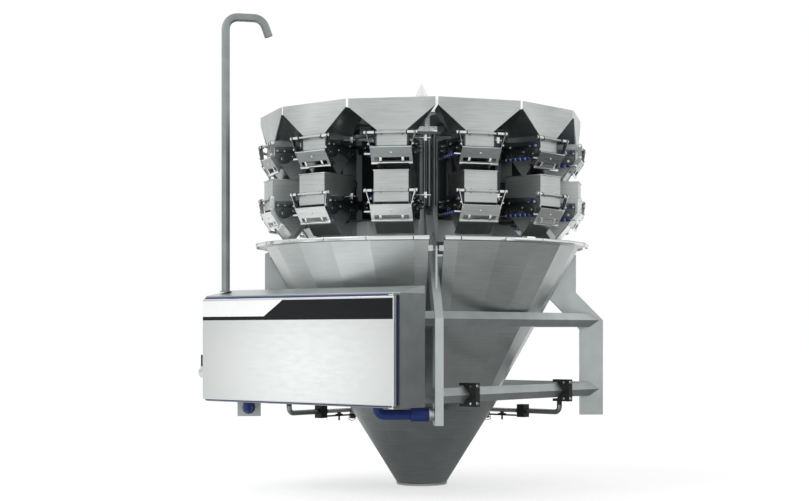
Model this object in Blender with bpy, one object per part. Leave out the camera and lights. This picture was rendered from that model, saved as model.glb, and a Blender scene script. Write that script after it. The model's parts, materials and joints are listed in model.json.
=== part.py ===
# Multihead weigher with twelve weighing heads, modelled in metres with +Z up.
#
# The machine is laid out round its own vertical axis: radii are measured from that axis and heights
# from the soles of the four legs. An empty carries the whole machine, so that the middle of the
# front leg's sole is the origin. The control cabinet's door looks along -Y.
#
# The radius of the gates' hinge rods drives the plan: hoppers, drives, pans, legs and chutes are set
# off from it, and the cabinet from the frame.

import math

import bmesh
import bpy
from mathutils import Matrix, Vector

# Counts
HEADS = 12
LEGS = 4
CHUTE_FACETS = 6
STATION = math.tau / HEADS
QUARTER = math.tau / LEGS
FRONT_LEG_ANGLE = -QUARTER / 2

# Fits and sheet thicknesses
SEAT = 0.0003
PIN_CLEARANCE = 0.0007
SINK = 0.002
CUT_OVERRUN = 0.01
SMOOTH_ANGLE = math.radians(32)
SHEET = 0.002
GATE_SHEET = 0.0025
CHEEK_SHEET = 0.003
RUNNING_GAP = 0.005

# Ring of heads: hinge rods, and the two hoppers set back from them
ROD_R = 0.745
POOL_SETBACK = 0.023
POOL_DEPTH = 0.172
POOL_WIDTH = 0.130
POOL_ROD_Z = 1.228
WEIGH_SETBACK = 0.010
WEIGH_DEPTH = 0.190
WEIGH_WIDTH = 0.149
WEIGH_ROD_Z = 0.984
WEIGH_MOUTH_Z = 1.071
POOL_FRONT_R = ROD_R - POOL_SETBACK
POOL_REAR_R = POOL_FRONT_R - POOL_DEPTH
WEIGH_FRONT_R = ROD_R - WEIGH_SETBACK
WEIGH_REAR_R = WEIGH_FRONT_R - WEIGH_DEPTH

# Guard plates round the pool hoppers' mouths
GUARD_STEP = 0.0024
GUARD_R = POOL_FRONT_R + GUARD_STEP
GUARD_TOP_Z = 1.377
GUARD_BAND = 0.034
GUARD_GAP = 0.0065
GUARD_MOUTH_Z = 1.244

# Hinge rods and their lugs
ROD_RADIUS = 0.005
ROD_LENGTH = 0.225
LUG_THICKNESS = 0.005
LUG_HEIGHT = 0.022
LUG_SPACING = 0.090

# Gates, measured from the rod: R outward, Z upward
TIP_R = -0.108
TIP_Z = -0.175
CREST_R = -0.012
CREST_Z = -0.055
PLATE_TOP_R = 0.002
PLATE_TOP_Z = -0.061
PLATE_BOTTOM_R = -0.038
PLATE_BOTTOM_Z = -0.127
GATE_WIDTH = 0.179
POOL_TIP_WIDTH = 0.138
WEIGH_TIP_WIDTH = 0.164
TAPER_LOW_SHARE = 0.42
TAPER_HIGH_SHARE = 0.56
WINDOW_WIDTH = 0.150
WINDOW_TOP_Z = -0.103
WINDOW_BOTTOM_Z = -0.118
WINDOW_DEPTH = 0.006
CHEEK_LOW_SHARE = 0.45
WAVE_START_SHARE = 0.35
WAVE_END_SHARE = 0.75
WAVE_HEIGHT = 0.016
EYE_RADIUS = 0.011
EYE_START = math.radians(-20)
EYE_SWEEP = math.radians(220)
EYE_STEPS = 4
EYE_SIDES = 8
LINK_EYE_Y = 0.105
LINK_BOTTOM_Z = -0.072
LINK_WIDTH = 0.012

# Drive unit behind each pair of hoppers
DRIVE_GAP = 0.050
DRIVE_DEPTH = 0.125
DRIVE_WIDTH = 0.116
DRIVE_BOTTOM_Z = 0.885
DRIVE_TOP_Z = 1.232
DRIVE_ROUNDING = 0.018
HANGER_WIDTH = 0.086
HANGER_HEIGHT = 0.030
POOL_HANGER_Z = 1.195
WEIGH_HANGER_Z = 1.035
DRIVE_FRONT_R = WEIGH_REAR_R - DRIVE_GAP

# Central body
DRUM_APOTHEM = DRIVE_FRONT_R - DRIVE_DEPTH
DRUM_BOTTOM_Z = 0.961
DRUM_TOP_Z = 1.260
BASE_INSET = 0.040
BASE_APOTHEM = DRUM_APOTHEM - BASE_INSET
BASE_BOTTOM_Z = 0.790
BASE_SIDES = 24
BASE_OVERLAP = 0.010
SUMP_INSET = 0.120
SUMP_DEPTH = 0.030

# Dispersion cone
CONE_RIM_Z = 1.376
CONE_RIM_THICKNESS = 0.006
TIP_BASE_RADIUS = 0.030
TIP_BASE_Z = 1.487
TIP_TOP_Z = 1.550
HUB_RADIUS = 0.060
CONE_SIDES = 36
CONE_RADIUS = BASE_APOTHEM

# Feeder deck with its twelve vibrating pans
DECK_OVERHANG = 0.030
DECK_THICKNESS = 0.014
PAN_UNDER_CONE = 0.045
PAN_OVER_HOPPER = 0.105
PAN_INNER_WIDTH = 0.128
PAN_OUTER_WIDTH = 0.140
PAN_FLOOR_INNER_Z = 1.312
PAN_FLOOR_OUTER_Z = 1.298
PAN_WALL = 0.045
SHAKER_LENGTH = 0.090
SHAKER_WIDTH = 0.070
SHAKER_SETBACK = 0.015
PAN_INNER_R = CONE_RADIUS - PAN_UNDER_CONE
PAN_OUTER_R = POOL_REAR_R + PAN_OVER_HOPPER

# Frame: four bent legs and eight square tubes standing on edge
LEG_REACH = 0.109
LEG_DEPTH = 0.107
LEG_WIDTH = 0.035
LEG_BEND = math.radians(45)
LEG_BEND_Z = 0.444
ARM_GAP = 0.006
ARM_FLAT = 0.010
BEAM_SIDE = 0.045
LOWER_BEAM_Z = 0.122
LEG_OUTER_R = ROD_R + LEG_REACH
FOOT_R = LEG_OUTER_R - LEG_DEPTH / 2
ARM_TOP_Z = DRUM_BOTTOM_Z - ARM_GAP
UPPER_BEAM_Z = LEG_BEND_Z
BEAM_HALF_DIAGONAL = BEAM_SIDE / math.sqrt(2)
BEAM_RIDGE = LEG_OUTER_R / math.sqrt(2)
BEAM_AXIS = BEAM_RIDGE - BEAM_HALF_DIAGONAL

# Blades on the arms, with the pins that the chutes hang on
BLADE_THICKNESS = 0.008
BLADE_SETBACK = 0.017
BLADE_LENGTH = 0.158
BLADE_OUTER_Z = 0.750
BLADE_INNER_Z = 0.815
BLADE_OUTER_R = ROD_R - BLADE_SETBACK
BLADE_INNER_R = BLADE_OUTER_R - BLADE_LENGTH
PIN_SETBACK = 0.048
CHUTE_PIN_R = ROD_R - PIN_SETBACK
CHUTE_PIN_Z = 0.737
CHUTE_PIN_RADIUS = 0.003
CHUTE_PIN_LENGTH = 0.046
CHUTE_PIN_SIDES = 8

# Collecting chutes
CHUTE_SETBACK = 0.018
CHUTE_BEAM_GAP = 0.003
CHUTE_LIP_REACH = 0.048
CHUTE_TOP_Z = 0.775
CHUTE_LIP_Z = 0.790
CHUTE_BOTTOM_Z = 0.095
CHUTE_GAP = 0.066
CHUTE_RETURN = 0.022
CHUTE_TOP_R = ROD_R - CHUTE_SETBACK
CHUTE_LIP_R = CHUTE_TOP_R + CHUTE_LIP_REACH
CHUTE_WAIST_R = (BEAM_AXIS - BEAM_HALF_DIAGONAL - CHUTE_BEAM_GAP) / math.cos(QUARTER / CHUTE_FACETS / 2)
CHUTE_SLOPE = (CHUTE_TOP_R - CHUTE_WAIST_R) / (CHUTE_TOP_Z - UPPER_BEAM_Z)
CHUTE_BOTTOM_R = CHUTE_TOP_R - CHUTE_SLOPE * (CHUTE_TOP_Z - CHUTE_BOTTOM_Z)
EAR_WALL = 0.009
EAR_TOP = 0.014
EAR_SKIRT = 0.007
EAR_REACH = 0.020

# Discharge funnel
FUNNEL_MARGIN = 0.015
FUNNEL_TOP_R = CHUTE_BOTTOM_R + FUNNEL_MARGIN
FUNNEL_TOP_Z = 0.085
FUNNEL_OUTLET_R = 0.109
FUNNEL_OUTLET_Z = -0.320
FUNNEL_WALL = 0.004
FUNNEL_LIP = 0.007
FUNNEL_SIDES = 48

# Funnel supports: a clamp on the lower beam, a bent tube, a clamp block and a clip
CLAMP_HEIGHT = 0.100
CLAMP_DEPTH = 0.030
CLAMP_LENGTH = 0.028
CLAMP_JAW = 0.012
JAW_REACH = 0.060
NEAR_CLAMP_MARGIN = 0.219
SUPPORT_INSET = 0.062
SUPPORT_TUBE_RADIUS = 0.012
SUPPORT_TUBE_Z = 0.022
SUPPORT_TUBE_SIDES = 12
SUPPORT_TUBE_BEND = 0.024
TUBE_END_INSET = 0.032
BLOCK_OFFSET = 0.003
BLOCK_LENGTH = 0.042
BLOCK_WIDTH = 0.040
BLOCK_HEIGHT = 0.060
CLIP_ROD_RADIUS = 0.004
CLIP_ROD_DROP = 0.023
CLIP_WIDTH = 0.030
CLIP_HEIGHT = 0.036
CLIP_THICKNESS = 0.008
NEAR_CLAMP_ALONG = NEAR_CLAMP_MARGIN - BEAM_RIDGE
SUPPORT_ALONG = FUNNEL_TOP_R - SUPPORT_INSET
SUPPORT_TUBE_END = FUNNEL_TOP_R - TUBE_END_INSET
BLOCK_X = FUNNEL_TOP_R + BLOCK_OFFSET

# Bracket between the front leg and the funnel
BRACKET_Z = 0.030
BRACKET_HEIGHT = 0.020
BRACKET_THICKNESS = 0.010
BRACKET_SPAN = 0.380

# Control cabinet, long side along X, with a roof that falls toward its door
CABINET_WIDTH = 1.156
CABINET_STANDOFF = 0.062
CABINET_DEPTH = 0.156
CABINET_BOTTOM_Z = 0.078
CABINET_FRONT_TOP_Z = 0.5495
CABINET_BACK_TOP_Z = 0.579
CABINET_SHEET = 0.003
CABINET_RETURN = 0.035
CABINET_BACK_Y = -BEAM_RIDGE - CABINET_STANDOFF
CABINET_FRONT_Y = CABINET_BACK_Y - CABINET_DEPTH
ROOF_SLOPE = (CABINET_BACK_TOP_Z - CABINET_FRONT_TOP_Z) / CABINET_DEPTH
CABINET_BAR_WIDTH = 0.060
CABINET_BAR_THICKNESS = 0.008
CABINET_BAR_X = 0.470

# Cabinet door, its seal, and the pins that it hangs on at its right end
DOOR_MARGIN = 0.010
DOOR_THICKNESS = 0.0194
DOOR_BOTTOM_Z = 0.088
DOOR_TOP_Z = 0.535
DOOR_ROUNDING = 0.004
DOOR_ROUNDING_STEPS = 2
GASKET_DEPTH = 0.0114
GASKET_WIDTH = 0.010
GASKET_INSET = 0.022
HINGE_INSET = 0.012
HINGE_PIN_RADIUS = 0.003
HINGE_PIN_DEPTH = 0.020
HINGE_TAB_WIDTH = 0.026
HINGE_TAB_THICKNESS = 0.0045
HINGE_TAB_GAP = 0.0015
DOOR_HALF = CABINET_WIDTH / 2 - DOOR_MARGIN
DOOR_BACK_Y = CABINET_FRONT_Y - SEAT - GASKET_DEPTH
DOOR_FRONT_Y = DOOR_BACK_Y - DOOR_THICKNESS
HINGE_X = DOOR_HALF - HINGE_INSET
HINGE_Y = (DOOR_BACK_Y + DOOR_FRONT_Y) / 2

# Main switch on the cabinet's left end: a round barrel with a grip above it
BARREL_RADIUS = 0.0265
BARREL_REACH = 0.059
BARREL_Z = 0.206
BARREL_SIDES = 16
GRIP_HEIGHT = 0.053
GRIP_WIDTH = 0.025
GRIP_REACH = 0.042
SWITCH_SETBACK = 0.007
SWITCH_FRONT_Y = CABINET_FRONT_Y + SWITCH_SETBACK

# Mast on the cabinet's left end
MAST_X = -0.537
MAST_FORWARD = 0.074
MAST_RADIUS = 0.019
MAST_BORE = 0.017
MAST_TOP_Z = 1.815
MAST_REACH = 0.1276
MAST_BEND_R = 0.055
MAST_SPOUT = 0.049
MAST_SPOUT_ANGLE = math.radians(70)
MAST_SIDES = 16
BEND_STEPS = 6
MAST_Y = CABINET_BACK_Y - MAST_FORWARD

# Blue conduits between the cabinet's underside and the front legs
CONDUIT_RUN = 0.2333
CONDUIT_Z = 0.044
CONDUIT_STUB = 0.008
CONDUIT_RADIUS = 0.021
SMALL_BEND_STEPS = 4
SLEEVE_RADIUS = 0.029
SLEEVE_LENGTH = 0.075
SLEEVE_MARGIN = 0.022
CONDUIT_SIDES = 12
CONDUIT_LEG_INSET = 0.054
CONDUIT_LEG_R = LEG_OUTER_R - CONDUIT_LEG_INSET

# Looks: name, colour, roughness, metallic
STAINLESS = ("brushed_stainless", (0.47, 0.49, 0.48), 0.32, 1.0)
BLASTED = ("blasted_stainless", (0.36, 0.39, 0.39), 0.50, 1.0)
POLISHED = ("polished_stainless", (0.62, 0.63, 0.62), 0.14, 1.0)
BLACK = ("black_nylon", (0.012, 0.012, 0.013), 0.55, 0.0)
BLUE = ("blue_nylon", (0.010, 0.042, 0.275), 0.40, 0.0)


def clear_scene():
    for thing in list(bpy.data.objects):
        bpy.data.objects.remove(thing, do_unlink=True)


def material(look):
    name, colour, roughness, metallic = look
    made = bpy.data.materials.get(name) or bpy.data.materials.new(name)
    made.use_nodes = True
    shader = made.node_tree.nodes["Principled BSDF"]
    shader.inputs["Base Color"].default_value = (*colour, 1.0)
    shader.inputs["Roughness"].default_value = roughness
    shader.inputs["Metallic"].default_value = metallic
    return made


def loose(bm, name="work"):
    """A temporary object from a bmesh, with its faces pointing out."""
    bmesh.ops.recalc_face_normals(bm, faces=bm.faces)
    mesh = bpy.data.meshes.new(name)
    bm.to_mesh(mesh)
    bm.free()
    thing = bpy.data.objects.new(name, mesh)
    bpy.context.scene.collection.objects.link(thing)
    return thing


def baked(thing):
    """The evaluated mesh of a temporary object, which is then removed."""
    bpy.context.view_layer.update()
    graph = bpy.context.evaluated_depsgraph_get()
    mesh = bpy.data.meshes.new_from_object(thing.evaluated_get(graph))
    bpy.data.objects.remove(thing, do_unlink=True)
    return mesh


def combined(base, others, operation):
    for other in others:
        step = base.modifiers.new(operation, "BOOLEAN")
        step.operation = operation
        step.solver = "EXACT"
        step.object = other
    mesh = baked(base)
    for other in others:
        bpy.data.objects.remove(other, do_unlink=True)
    result = bpy.data.objects.new("work", mesh)
    bpy.context.scene.collection.objects.link(result)
    return result


def union(pieces):
    return combined(pieces[0], pieces[1:], "UNION")


def cut(base, cutters):
    return combined(base, cutters, "DIFFERENCE")


def part(name, mesh, look, place=None, carrier=None):
    """A finished sub-part: a named object with its material, on its carrier."""
    thing = bpy.data.objects.new(name, mesh)
    bpy.context.scene.collection.objects.link(thing)
    if not mesh.materials:
        mesh.materials.append(material(look))
        mesh.shade_smooth()
        mesh.set_sharp_from_angle(angle=SMOOTH_ANGLE)
    thing.matrix_local = place or Matrix.Identity(4)
    thing.parent = carrier or MACHINE
    return thing


def turned(angle):
    return Matrix.Rotation(angle, 4, "Z")


def block(low, high):
    """A box between two opposite corners."""
    bm = bmesh.new()
    bmesh.ops.create_cube(bm, size=1)
    middle = (Vector(low) + Vector(high)) / 2
    size = Vector(high) - Vector(low)
    for vert in bm.verts:
        vert.co = Vector(c * s for c, s in zip(vert.co, size)) + middle
    return loose(bm)


def plate(outline, low, high):
    """A flat plate: an outline of (radius, height) points, extruded sideways from low to high."""
    bm = bmesh.new()
    face = bm.faces.new([bm.verts.new((r, low, z)) for r, z in outline])
    grown = bmesh.ops.extrude_face_region(bm, geom=[face])
    moved = [item for item in grown["geom"] if isinstance(item, bmesh.types.BMVert)]
    bmesh.ops.translate(bm, verts=moved, vec=(0, high - low, 0))
    return loose(bm)


def rounded(thing, radius, segments, test):
    """Rounds the edges of a temporary object that pass a test."""
    bm = bmesh.new()
    bm.from_mesh(thing.data)
    edges = [edge for edge in bm.edges if test(edge)]
    bmesh.ops.bevel(bm, geom=edges, offset=radius, segments=segments, profile=0.5, affect="EDGES")
    bm.to_mesh(thing.data)
    bm.free()
    return thing


def is_upright(edge):
    line = edge.verts[0].co - edge.verts[1].co
    return abs(line.z) > max(abs(line.x), abs(line.y))


def bar(start, end, radius, sides):
    """A round bar between two points."""
    start, end = Vector(start), Vector(end)
    bm = bmesh.new()
    place = Matrix.Translation((start + end) / 2) @ (end - start).to_track_quat("Z", "Y").to_matrix().to_4x4()
    bmesh.ops.create_cone(
        bm, cap_ends=True, segments=sides, radius1=radius, radius2=radius,
        depth=(end - start).length, matrix=place,
    )
    return loose(bm)


def lathe(profile, sides):
    """A closed solid of revolution from an outline of (radius, height) points."""
    bm = bmesh.new()
    verts = [bm.verts.new((r, 0, z)) for r, z in profile]
    edges = [bm.edges.new((a, b)) for a, b in zip(verts, verts[1:] + verts[:1])]
    bmesh.ops.spin(
        bm, geom=verts + edges, cent=(0, 0, 0), axis=(0, 0, 1), angle=math.tau,
        steps=sides, use_merge=True, use_duplicate=False,
    )
    on_axis = [v for v in bm.verts if math.hypot(v.co.x, v.co.y) < SEAT / 2]
    bmesh.ops.remove_doubles(bm, verts=on_axis, dist=SEAT / 2)
    bmesh.ops.dissolve_degenerate(bm, edges=bm.edges, dist=SEAT / 10)
    return loose(bm)


def ring_prism(apothem, low, high, sides, turn=0.0):
    """An upright prism with flat sides that face multiples of its pitch."""
    bm = bmesh.new()
    pitch = math.tau / sides
    corner = apothem / math.cos(pitch / 2)
    rings = []
    for z in (low, high):
        angles = [turn + (k + 0.5) * pitch for k in range(sides)]
        rings.append([bm.verts.new((corner * math.cos(a), corner * math.sin(a), z)) for a in angles])
    for k in range(sides):
        n = (k + 1) % sides
        bm.faces.new((rings[0][k], rings[0][n], rings[1][n], rings[1][k]))
    bm.faces.new(rings[0][::-1])
    bm.faces.new(rings[1])
    return loose(bm)


def sheet(rows, thickness, offset):
    """Folded sheet metal: a grid of points, each row along one fold, given its thickness."""
    bm = bmesh.new()
    grid = [[bm.verts.new(p) for p in row] for row in rows]
    for a, b in zip(grid, grid[1:]):
        for k in range(len(a) - 1):
            bm.faces.new((a[k], a[k + 1], b[k + 1], b[k]))
    thing = loose_open(bm)
    wall = thing.modifiers.new("thickness", "SOLIDIFY")
    wall.thickness = thickness
    wall.offset = offset
    wall.use_even_offset = True
    mesh = baked(thing)
    made = bpy.data.objects.new("work", mesh)
    bpy.context.scene.collection.objects.link(made)
    return made


def loose_open(bm):
    """A temporary object from an open sheet, whose faces keep the order they were made in."""
    mesh = bpy.data.meshes.new("work")
    bm.to_mesh(mesh)
    bm.free()
    thing = bpy.data.objects.new("work", mesh)
    bpy.context.scene.collection.objects.link(thing)
    return thing


def swept(points, radius, sides):
    """A round tube's solid along a path, with square ends."""
    curve = bpy.data.curves.new("work", "CURVE")
    curve.dimensions = "3D"
    curve.bevel_depth = radius
    curve.bevel_resolution = sides // 4 - 1
    curve.use_fill_caps = True
    spline = curve.splines.new("POLY")
    spline.points.add(len(points) - 1)
    for target, point in zip(spline.points, points):
        target.co = (*point, 1.0)
    thing = bpy.data.objects.new("work", curve)
    bpy.context.scene.collection.objects.link(thing)
    mesh = baked(thing)
    bm = bmesh.new()
    bm.from_mesh(mesh)
    bmesh.ops.remove_doubles(bm, verts=bm.verts, dist=SEAT / 10)
    return loose(bm)


def arc(centre, start, end, angle, steps):
    """Points of a bend from start to end, two unit directions at right angles to each other."""
    centre = Vector(centre)
    return [
        centre + Vector(start) * math.cos(angle * k / steps) + Vector(end) * math.sin(angle * k / steps)
        for k in range(steps + 1)
    ]


def hopper(front_r, rear_r, width, rod_z, mouth_z):
    """One hopper's body: rear wall with its slope, two sides and the front, open above and below."""
    half = width / 2
    slope = (CREST_Z - TIP_Z) / (CREST_R - TIP_R)
    seat_r = ROD_R + TIP_R
    seat_z = rod_z + TIP_Z + RUNNING_GAP + GATE_SHEET
    front_bottom_z = seat_z + (front_r - seat_r) * slope
    rear_bottom_z = seat_z + (seat_r - rear_r) * slope
    outline = [
        (rear_r, mouth_z), (front_r, mouth_z), (front_r, front_bottom_z), (seat_r, seat_z),
        (rear_r, rear_bottom_z),
    ]
    shell = plate(outline, -half, half)
    inner = [
        (rear_r + SHEET, mouth_z + CUT_OVERRUN),
        (front_r - SHEET, mouth_z + CUT_OVERRUN),
        (front_r - SHEET, seat_z - CUT_OVERRUN),
        (seat_r + SHEET, seat_z - CUT_OVERRUN),
        (seat_r + SHEET, seat_z + SHEET),
        (rear_r + SHEET, rear_bottom_z + SHEET),
    ]
    return cut(shell, [plate(inner, SHEET - half, half - SHEET)])


def guard():
    """The guard plate and the two flared sides that lead into a pool hopper, folded from one sheet."""
    mouth = POOL_WIDTH / 2 - SHEET / 2
    wide = GUARD_R * math.tan(STATION / 2) - GUARD_GAP
    rear_wide = POOL_REAR_R * math.tan(STATION / 2) - GUARD_GAP
    band_z = GUARD_TOP_Z - GUARD_BAND
    foot_z = GUARD_MOUTH_Z - SINK
    front_foot = POOL_FRONT_R - SHEET
    side = [
        [(POOL_REAR_R, s * mouth, foot_z), (front_foot, s * mouth, foot_z)]
        for s in (-1, 1)
    ]
    flare = [
        [(POOL_REAR_R, s * rear_wide, band_z), (GUARD_R - SHEET, s * wide, band_z)]
        for s in (-1, 1)
    ]
    rows = [
        [flare[0][0], flare[0][1]],
        [side[0][0], side[0][1]],
    ]
    left = sheet(rows, SHEET, 0)
    right = sheet([[flare[1][0], flare[1][1]], [side[1][0], side[1][1]]], SHEET, 0)
    outline = [
        (-mouth - SHEET, foot_z), (mouth + SHEET, foot_z), (wide, band_z), (wide, GUARD_TOP_Z),
        (-wide, GUARD_TOP_Z), (-wide, band_z),
    ]
    bm = bmesh.new()
    back = [bm.verts.new((GUARD_R - SHEET, y, z)) for y, z in outline]
    front = [bm.verts.new((GUARD_R, y, z)) for y, z in outline]
    bm.faces.new(back)
    bm.faces.new(front[::-1])
    for k in range(len(outline)):
        n = (k + 1) % len(outline)
        bm.faces.new((back[k], back[n], front[n], front[k]))
    return [loose(bm), left, right]


def rod_with_lugs(front_r, rod_z):
    """The fixed hinge rod of a gate, carried by two lugs on the hopper's front."""
    half = ROD_LENGTH / 2
    pieces = [bar((ROD_R, -half, rod_z), (ROD_R, half, rod_z), ROD_RADIUS, EYE_SIDES)]
    for side in (-1, 1):
        middle = side * LUG_SPACING / 2
        outline = [
            (front_r - SHEET / 2, rod_z - LUG_HEIGHT / 2), (ROD_R, rod_z - ROD_RADIUS / 2),
            (ROD_R, rod_z + ROD_RADIUS / 2), (front_r - SHEET / 2, rod_z + LUG_HEIGHT / 2),
        ]
        pieces.append(plate(outline, middle - LUG_THICKNESS / 2, middle + LUG_THICKNESS / 2))
    return pieces


def is_drive_corner(edge):
    """The upright edges of a drive housing that look outward."""
    return is_upright(edge) and min(v.co.x for v in edge.verts) > DRUM_APOTHEM + DRIVE_ROUNDING


def drive_unit():
    """The housing that drives one head, with the hangers that carry its two hoppers."""
    half = DRIVE_WIDTH / 2
    housing = block(
        (DRUM_APOTHEM + SEAT, -half, DRIVE_BOTTOM_Z), (DRIVE_FRONT_R, half, DRIVE_TOP_Z),
    )
    pieces = [rounded(housing, DRIVE_ROUNDING, 1, is_drive_corner)]
    for rear_r, hanger_z in ((POOL_REAR_R, POOL_HANGER_Z), (WEIGH_REAR_R, WEIGH_HANGER_Z)):
        pieces.append(block(
            (DRIVE_FRONT_R - SINK, -HANGER_WIDTH / 2, hanger_z - HANGER_HEIGHT / 2),
            (rear_r + SHEET / 2, HANGER_WIDTH / 2, hanger_z + HANGER_HEIGHT / 2),
        ))
    return pieces


def head_mesh():
    pieces = drive_unit()
    pieces.append(hopper(POOL_FRONT_R, POOL_REAR_R, POOL_WIDTH, POOL_ROD_Z, GUARD_MOUTH_Z))
    pieces.append(hopper(WEIGH_FRONT_R, WEIGH_REAR_R, WEIGH_WIDTH, WEIGH_ROD_Z, WEIGH_MOUTH_Z))
    pieces += guard()
    pieces += rod_with_lugs(POOL_FRONT_R, POOL_ROD_Z)
    pieces += rod_with_lugs(WEIGH_FRONT_R, WEIGH_ROD_Z)
    return baked(union(pieces))


def cheek_outline():
    """One gate cheek: a web between the panel and the front plate, with a wave in its lower edge."""
    low = Vector((TIP_R, TIP_Z)).lerp(Vector((CREST_R, CREST_Z)), CHEEK_LOW_SHARE)
    foot = Vector((PLATE_BOTTOM_R, PLATE_BOTTOM_Z))
    return [
        (PLATE_TOP_R + CHEEK_SHEET, PLATE_TOP_Z), (CREST_R, CREST_Z), tuple(low),
        tuple(low.lerp(foot, WAVE_START_SHARE) + Vector((0, WAVE_HEIGHT / 2))),
        tuple(low.lerp(foot, WAVE_END_SHARE) + Vector((0, WAVE_HEIGHT))),
        tuple(foot),
    ]


def link(side):
    """The flat link from a rod end down to the gate's cheek, with its eye on the rod."""
    eye = [
        (EYE_RADIUS * math.cos(a), EYE_RADIUS * math.sin(a))
        for a in [EYE_START + k * EYE_SWEEP / EYE_STEPS for k in range(EYE_STEPS + 1)]
    ]
    outline = eye + [(CREST_R, LINK_BOTTOM_Z), (CREST_R + LINK_WIDTH, LINK_BOTTOM_Z)]
    middle = side * LINK_EYE_Y
    thing = plate(outline, middle - CHEEK_SHEET / 2, middle + CHEEK_SHEET / 2)
    lean = side * (LINK_EYE_Y - (GATE_WIDTH - CHEEK_SHEET) / 2) / -PLATE_TOP_Z
    for vert in thing.data.vertices:
        vert.co.y += lean * vert.co.z
    return thing


def gate_mesh(tip_width):
    """A gate: panel, crest and slotted front plate folded from one sheet, between two cheeks."""
    half = GATE_WIDTH / 2 - CHEEK_SHEET / 2
    tip_half = tip_width / 2
    tip = Vector((TIP_R, TIP_Z))
    crest = Vector((CREST_R, CREST_Z))
    low = tip.lerp(crest, TAPER_LOW_SHARE)
    high = tip.lerp(crest, TAPER_HIGH_SHARE)
    folds = [
        (TIP_R, TIP_Z, tip_half), (*low, tip_half), (*high, half), (CREST_R, CREST_Z, half),
        (PLATE_TOP_R, PLATE_TOP_Z, half), (PLATE_BOTTOM_R, PLATE_BOTTOM_Z, half),
    ]
    rows = [[(r, -w, z), (r, w, z)] for r, z, w in folds]
    pieces = [sheet(rows, GATE_SHEET, 0)]
    for side in (-1, 1):
        middle = side * (GATE_WIDTH - CHEEK_SHEET) / 2
        pieces.append(plate(cheek_outline(), middle - CHEEK_SHEET / 2, middle + CHEEK_SHEET / 2))
        pieces.append(link(side))
    body = union(pieces)
    return baked(cut(body, [
        bar((0, -GATE_WIDTH, 0), (0, GATE_WIDTH, 0), ROD_RADIUS + PIN_CLEARANCE, EYE_SIDES),
        block((PLATE_BOTTOM_R - WINDOW_DEPTH, -WINDOW_WIDTH / 2, WINDOW_BOTTOM_Z),
              (PLATE_TOP_R, WINDOW_WIDTH / 2, WINDOW_TOP_Z)),
    ]))


def build_heads():
    head = head_mesh()
    gates = {
        "pool": (gate_mesh(POOL_TIP_WIDTH), POOL_ROD_Z, STAINLESS),
        "weigh": (gate_mesh(WEIGH_TIP_WIDTH), WEIGH_ROD_Z, POLISHED),
    }
    for k in range(HEADS):
        number = f"{k + 1:02d}"
        turn = turned(k * STATION)
        part("head_" + number, head, STAINLESS, turn)
        for kind, (mesh, rod_z, look) in gates.items():
            part(f"{kind}_gate_{number}", mesh, look, turn @ Matrix.Translation((ROD_R, 0, rod_z)))


def build_central_body():
    sump_r = BASE_APOTHEM - SUMP_INSET
    upper = ring_prism(DRUM_APOTHEM, DRUM_BOTTOM_Z, DRUM_TOP_Z, HEADS)
    lower = ring_prism(BASE_APOTHEM, BASE_BOTTOM_Z, DRUM_BOTTOM_Z + BASE_OVERLAP, BASE_SIDES)
    sump = lathe(
        [(0, BASE_BOTTOM_Z - SUMP_DEPTH), (sump_r, BASE_BOTTOM_Z - SUMP_DEPTH),
         (sump_r + SUMP_DEPTH, BASE_BOTTOM_Z + SINK), (0, BASE_BOTTOM_Z + SINK)],
        BASE_SIDES,
    )
    part("central_body", baked(union([upper, lower, sump])), BLASTED)


def pan(turn):
    """One feeder pan: a channel that widens outward and falls slightly, on its shaker."""
    def row(r, width, floor_z):
        half = width / 2
        return [
            (r, -half, floor_z + PAN_WALL), (r, -half, floor_z), (r, half, floor_z),
            (r, half, floor_z + PAN_WALL),
        ]
    rows = [
        row(PAN_INNER_R, PAN_INNER_WIDTH, PAN_FLOOR_INNER_Z),
        row(PAN_OUTER_R, PAN_OUTER_WIDTH, PAN_FLOOR_OUTER_Z),
    ]
    channel = sheet(rows, SHEET, 0)
    start = PAN_INNER_R + SHAKER_SETBACK
    shaker = block(
        (start, -SHAKER_WIDTH / 2, DRUM_TOP_Z + DECK_THICKNESS - SINK),
        (start + SHAKER_LENGTH, SHAKER_WIDTH / 2, PAN_FLOOR_INNER_Z - SHEET / 2),
    )
    for thing in (channel, shaker):
        thing.data.transform(turned(turn))
    return [channel, shaker]


def build_feeders():
    deck_r = DRUM_APOTHEM + DECK_OVERHANG
    deck = ring_prism(deck_r, DRUM_TOP_Z + SEAT, DRUM_TOP_Z + DECK_THICKNESS, BASE_SIDES)
    pieces = [deck]
    for k in range(HEADS):
        pieces += pan(k * STATION)
    part("feeder_deck", baked(union(pieces)), STAINLESS)
    top = DRUM_TOP_Z + DECK_THICKNESS + SEAT
    fall = (TIP_BASE_Z - CONE_RIM_Z) / (CONE_RADIUS - TIP_BASE_RADIUS)
    hub_z = CONE_RIM_Z + (CONE_RADIUS - HUB_RADIUS) * fall - CONE_RIM_THICKNESS
    profile = [
        (0, top), (HUB_RADIUS, top), (HUB_RADIUS, hub_z), (CONE_RADIUS, CONE_RIM_Z - CONE_RIM_THICKNESS),
        (CONE_RADIUS, CONE_RIM_Z), (TIP_BASE_RADIUS, TIP_BASE_Z), (0, TIP_TOP_Z),
    ]
    part("dispersion_cone", baked(lathe(profile, CONE_SIDES)), STAINLESS)


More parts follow.
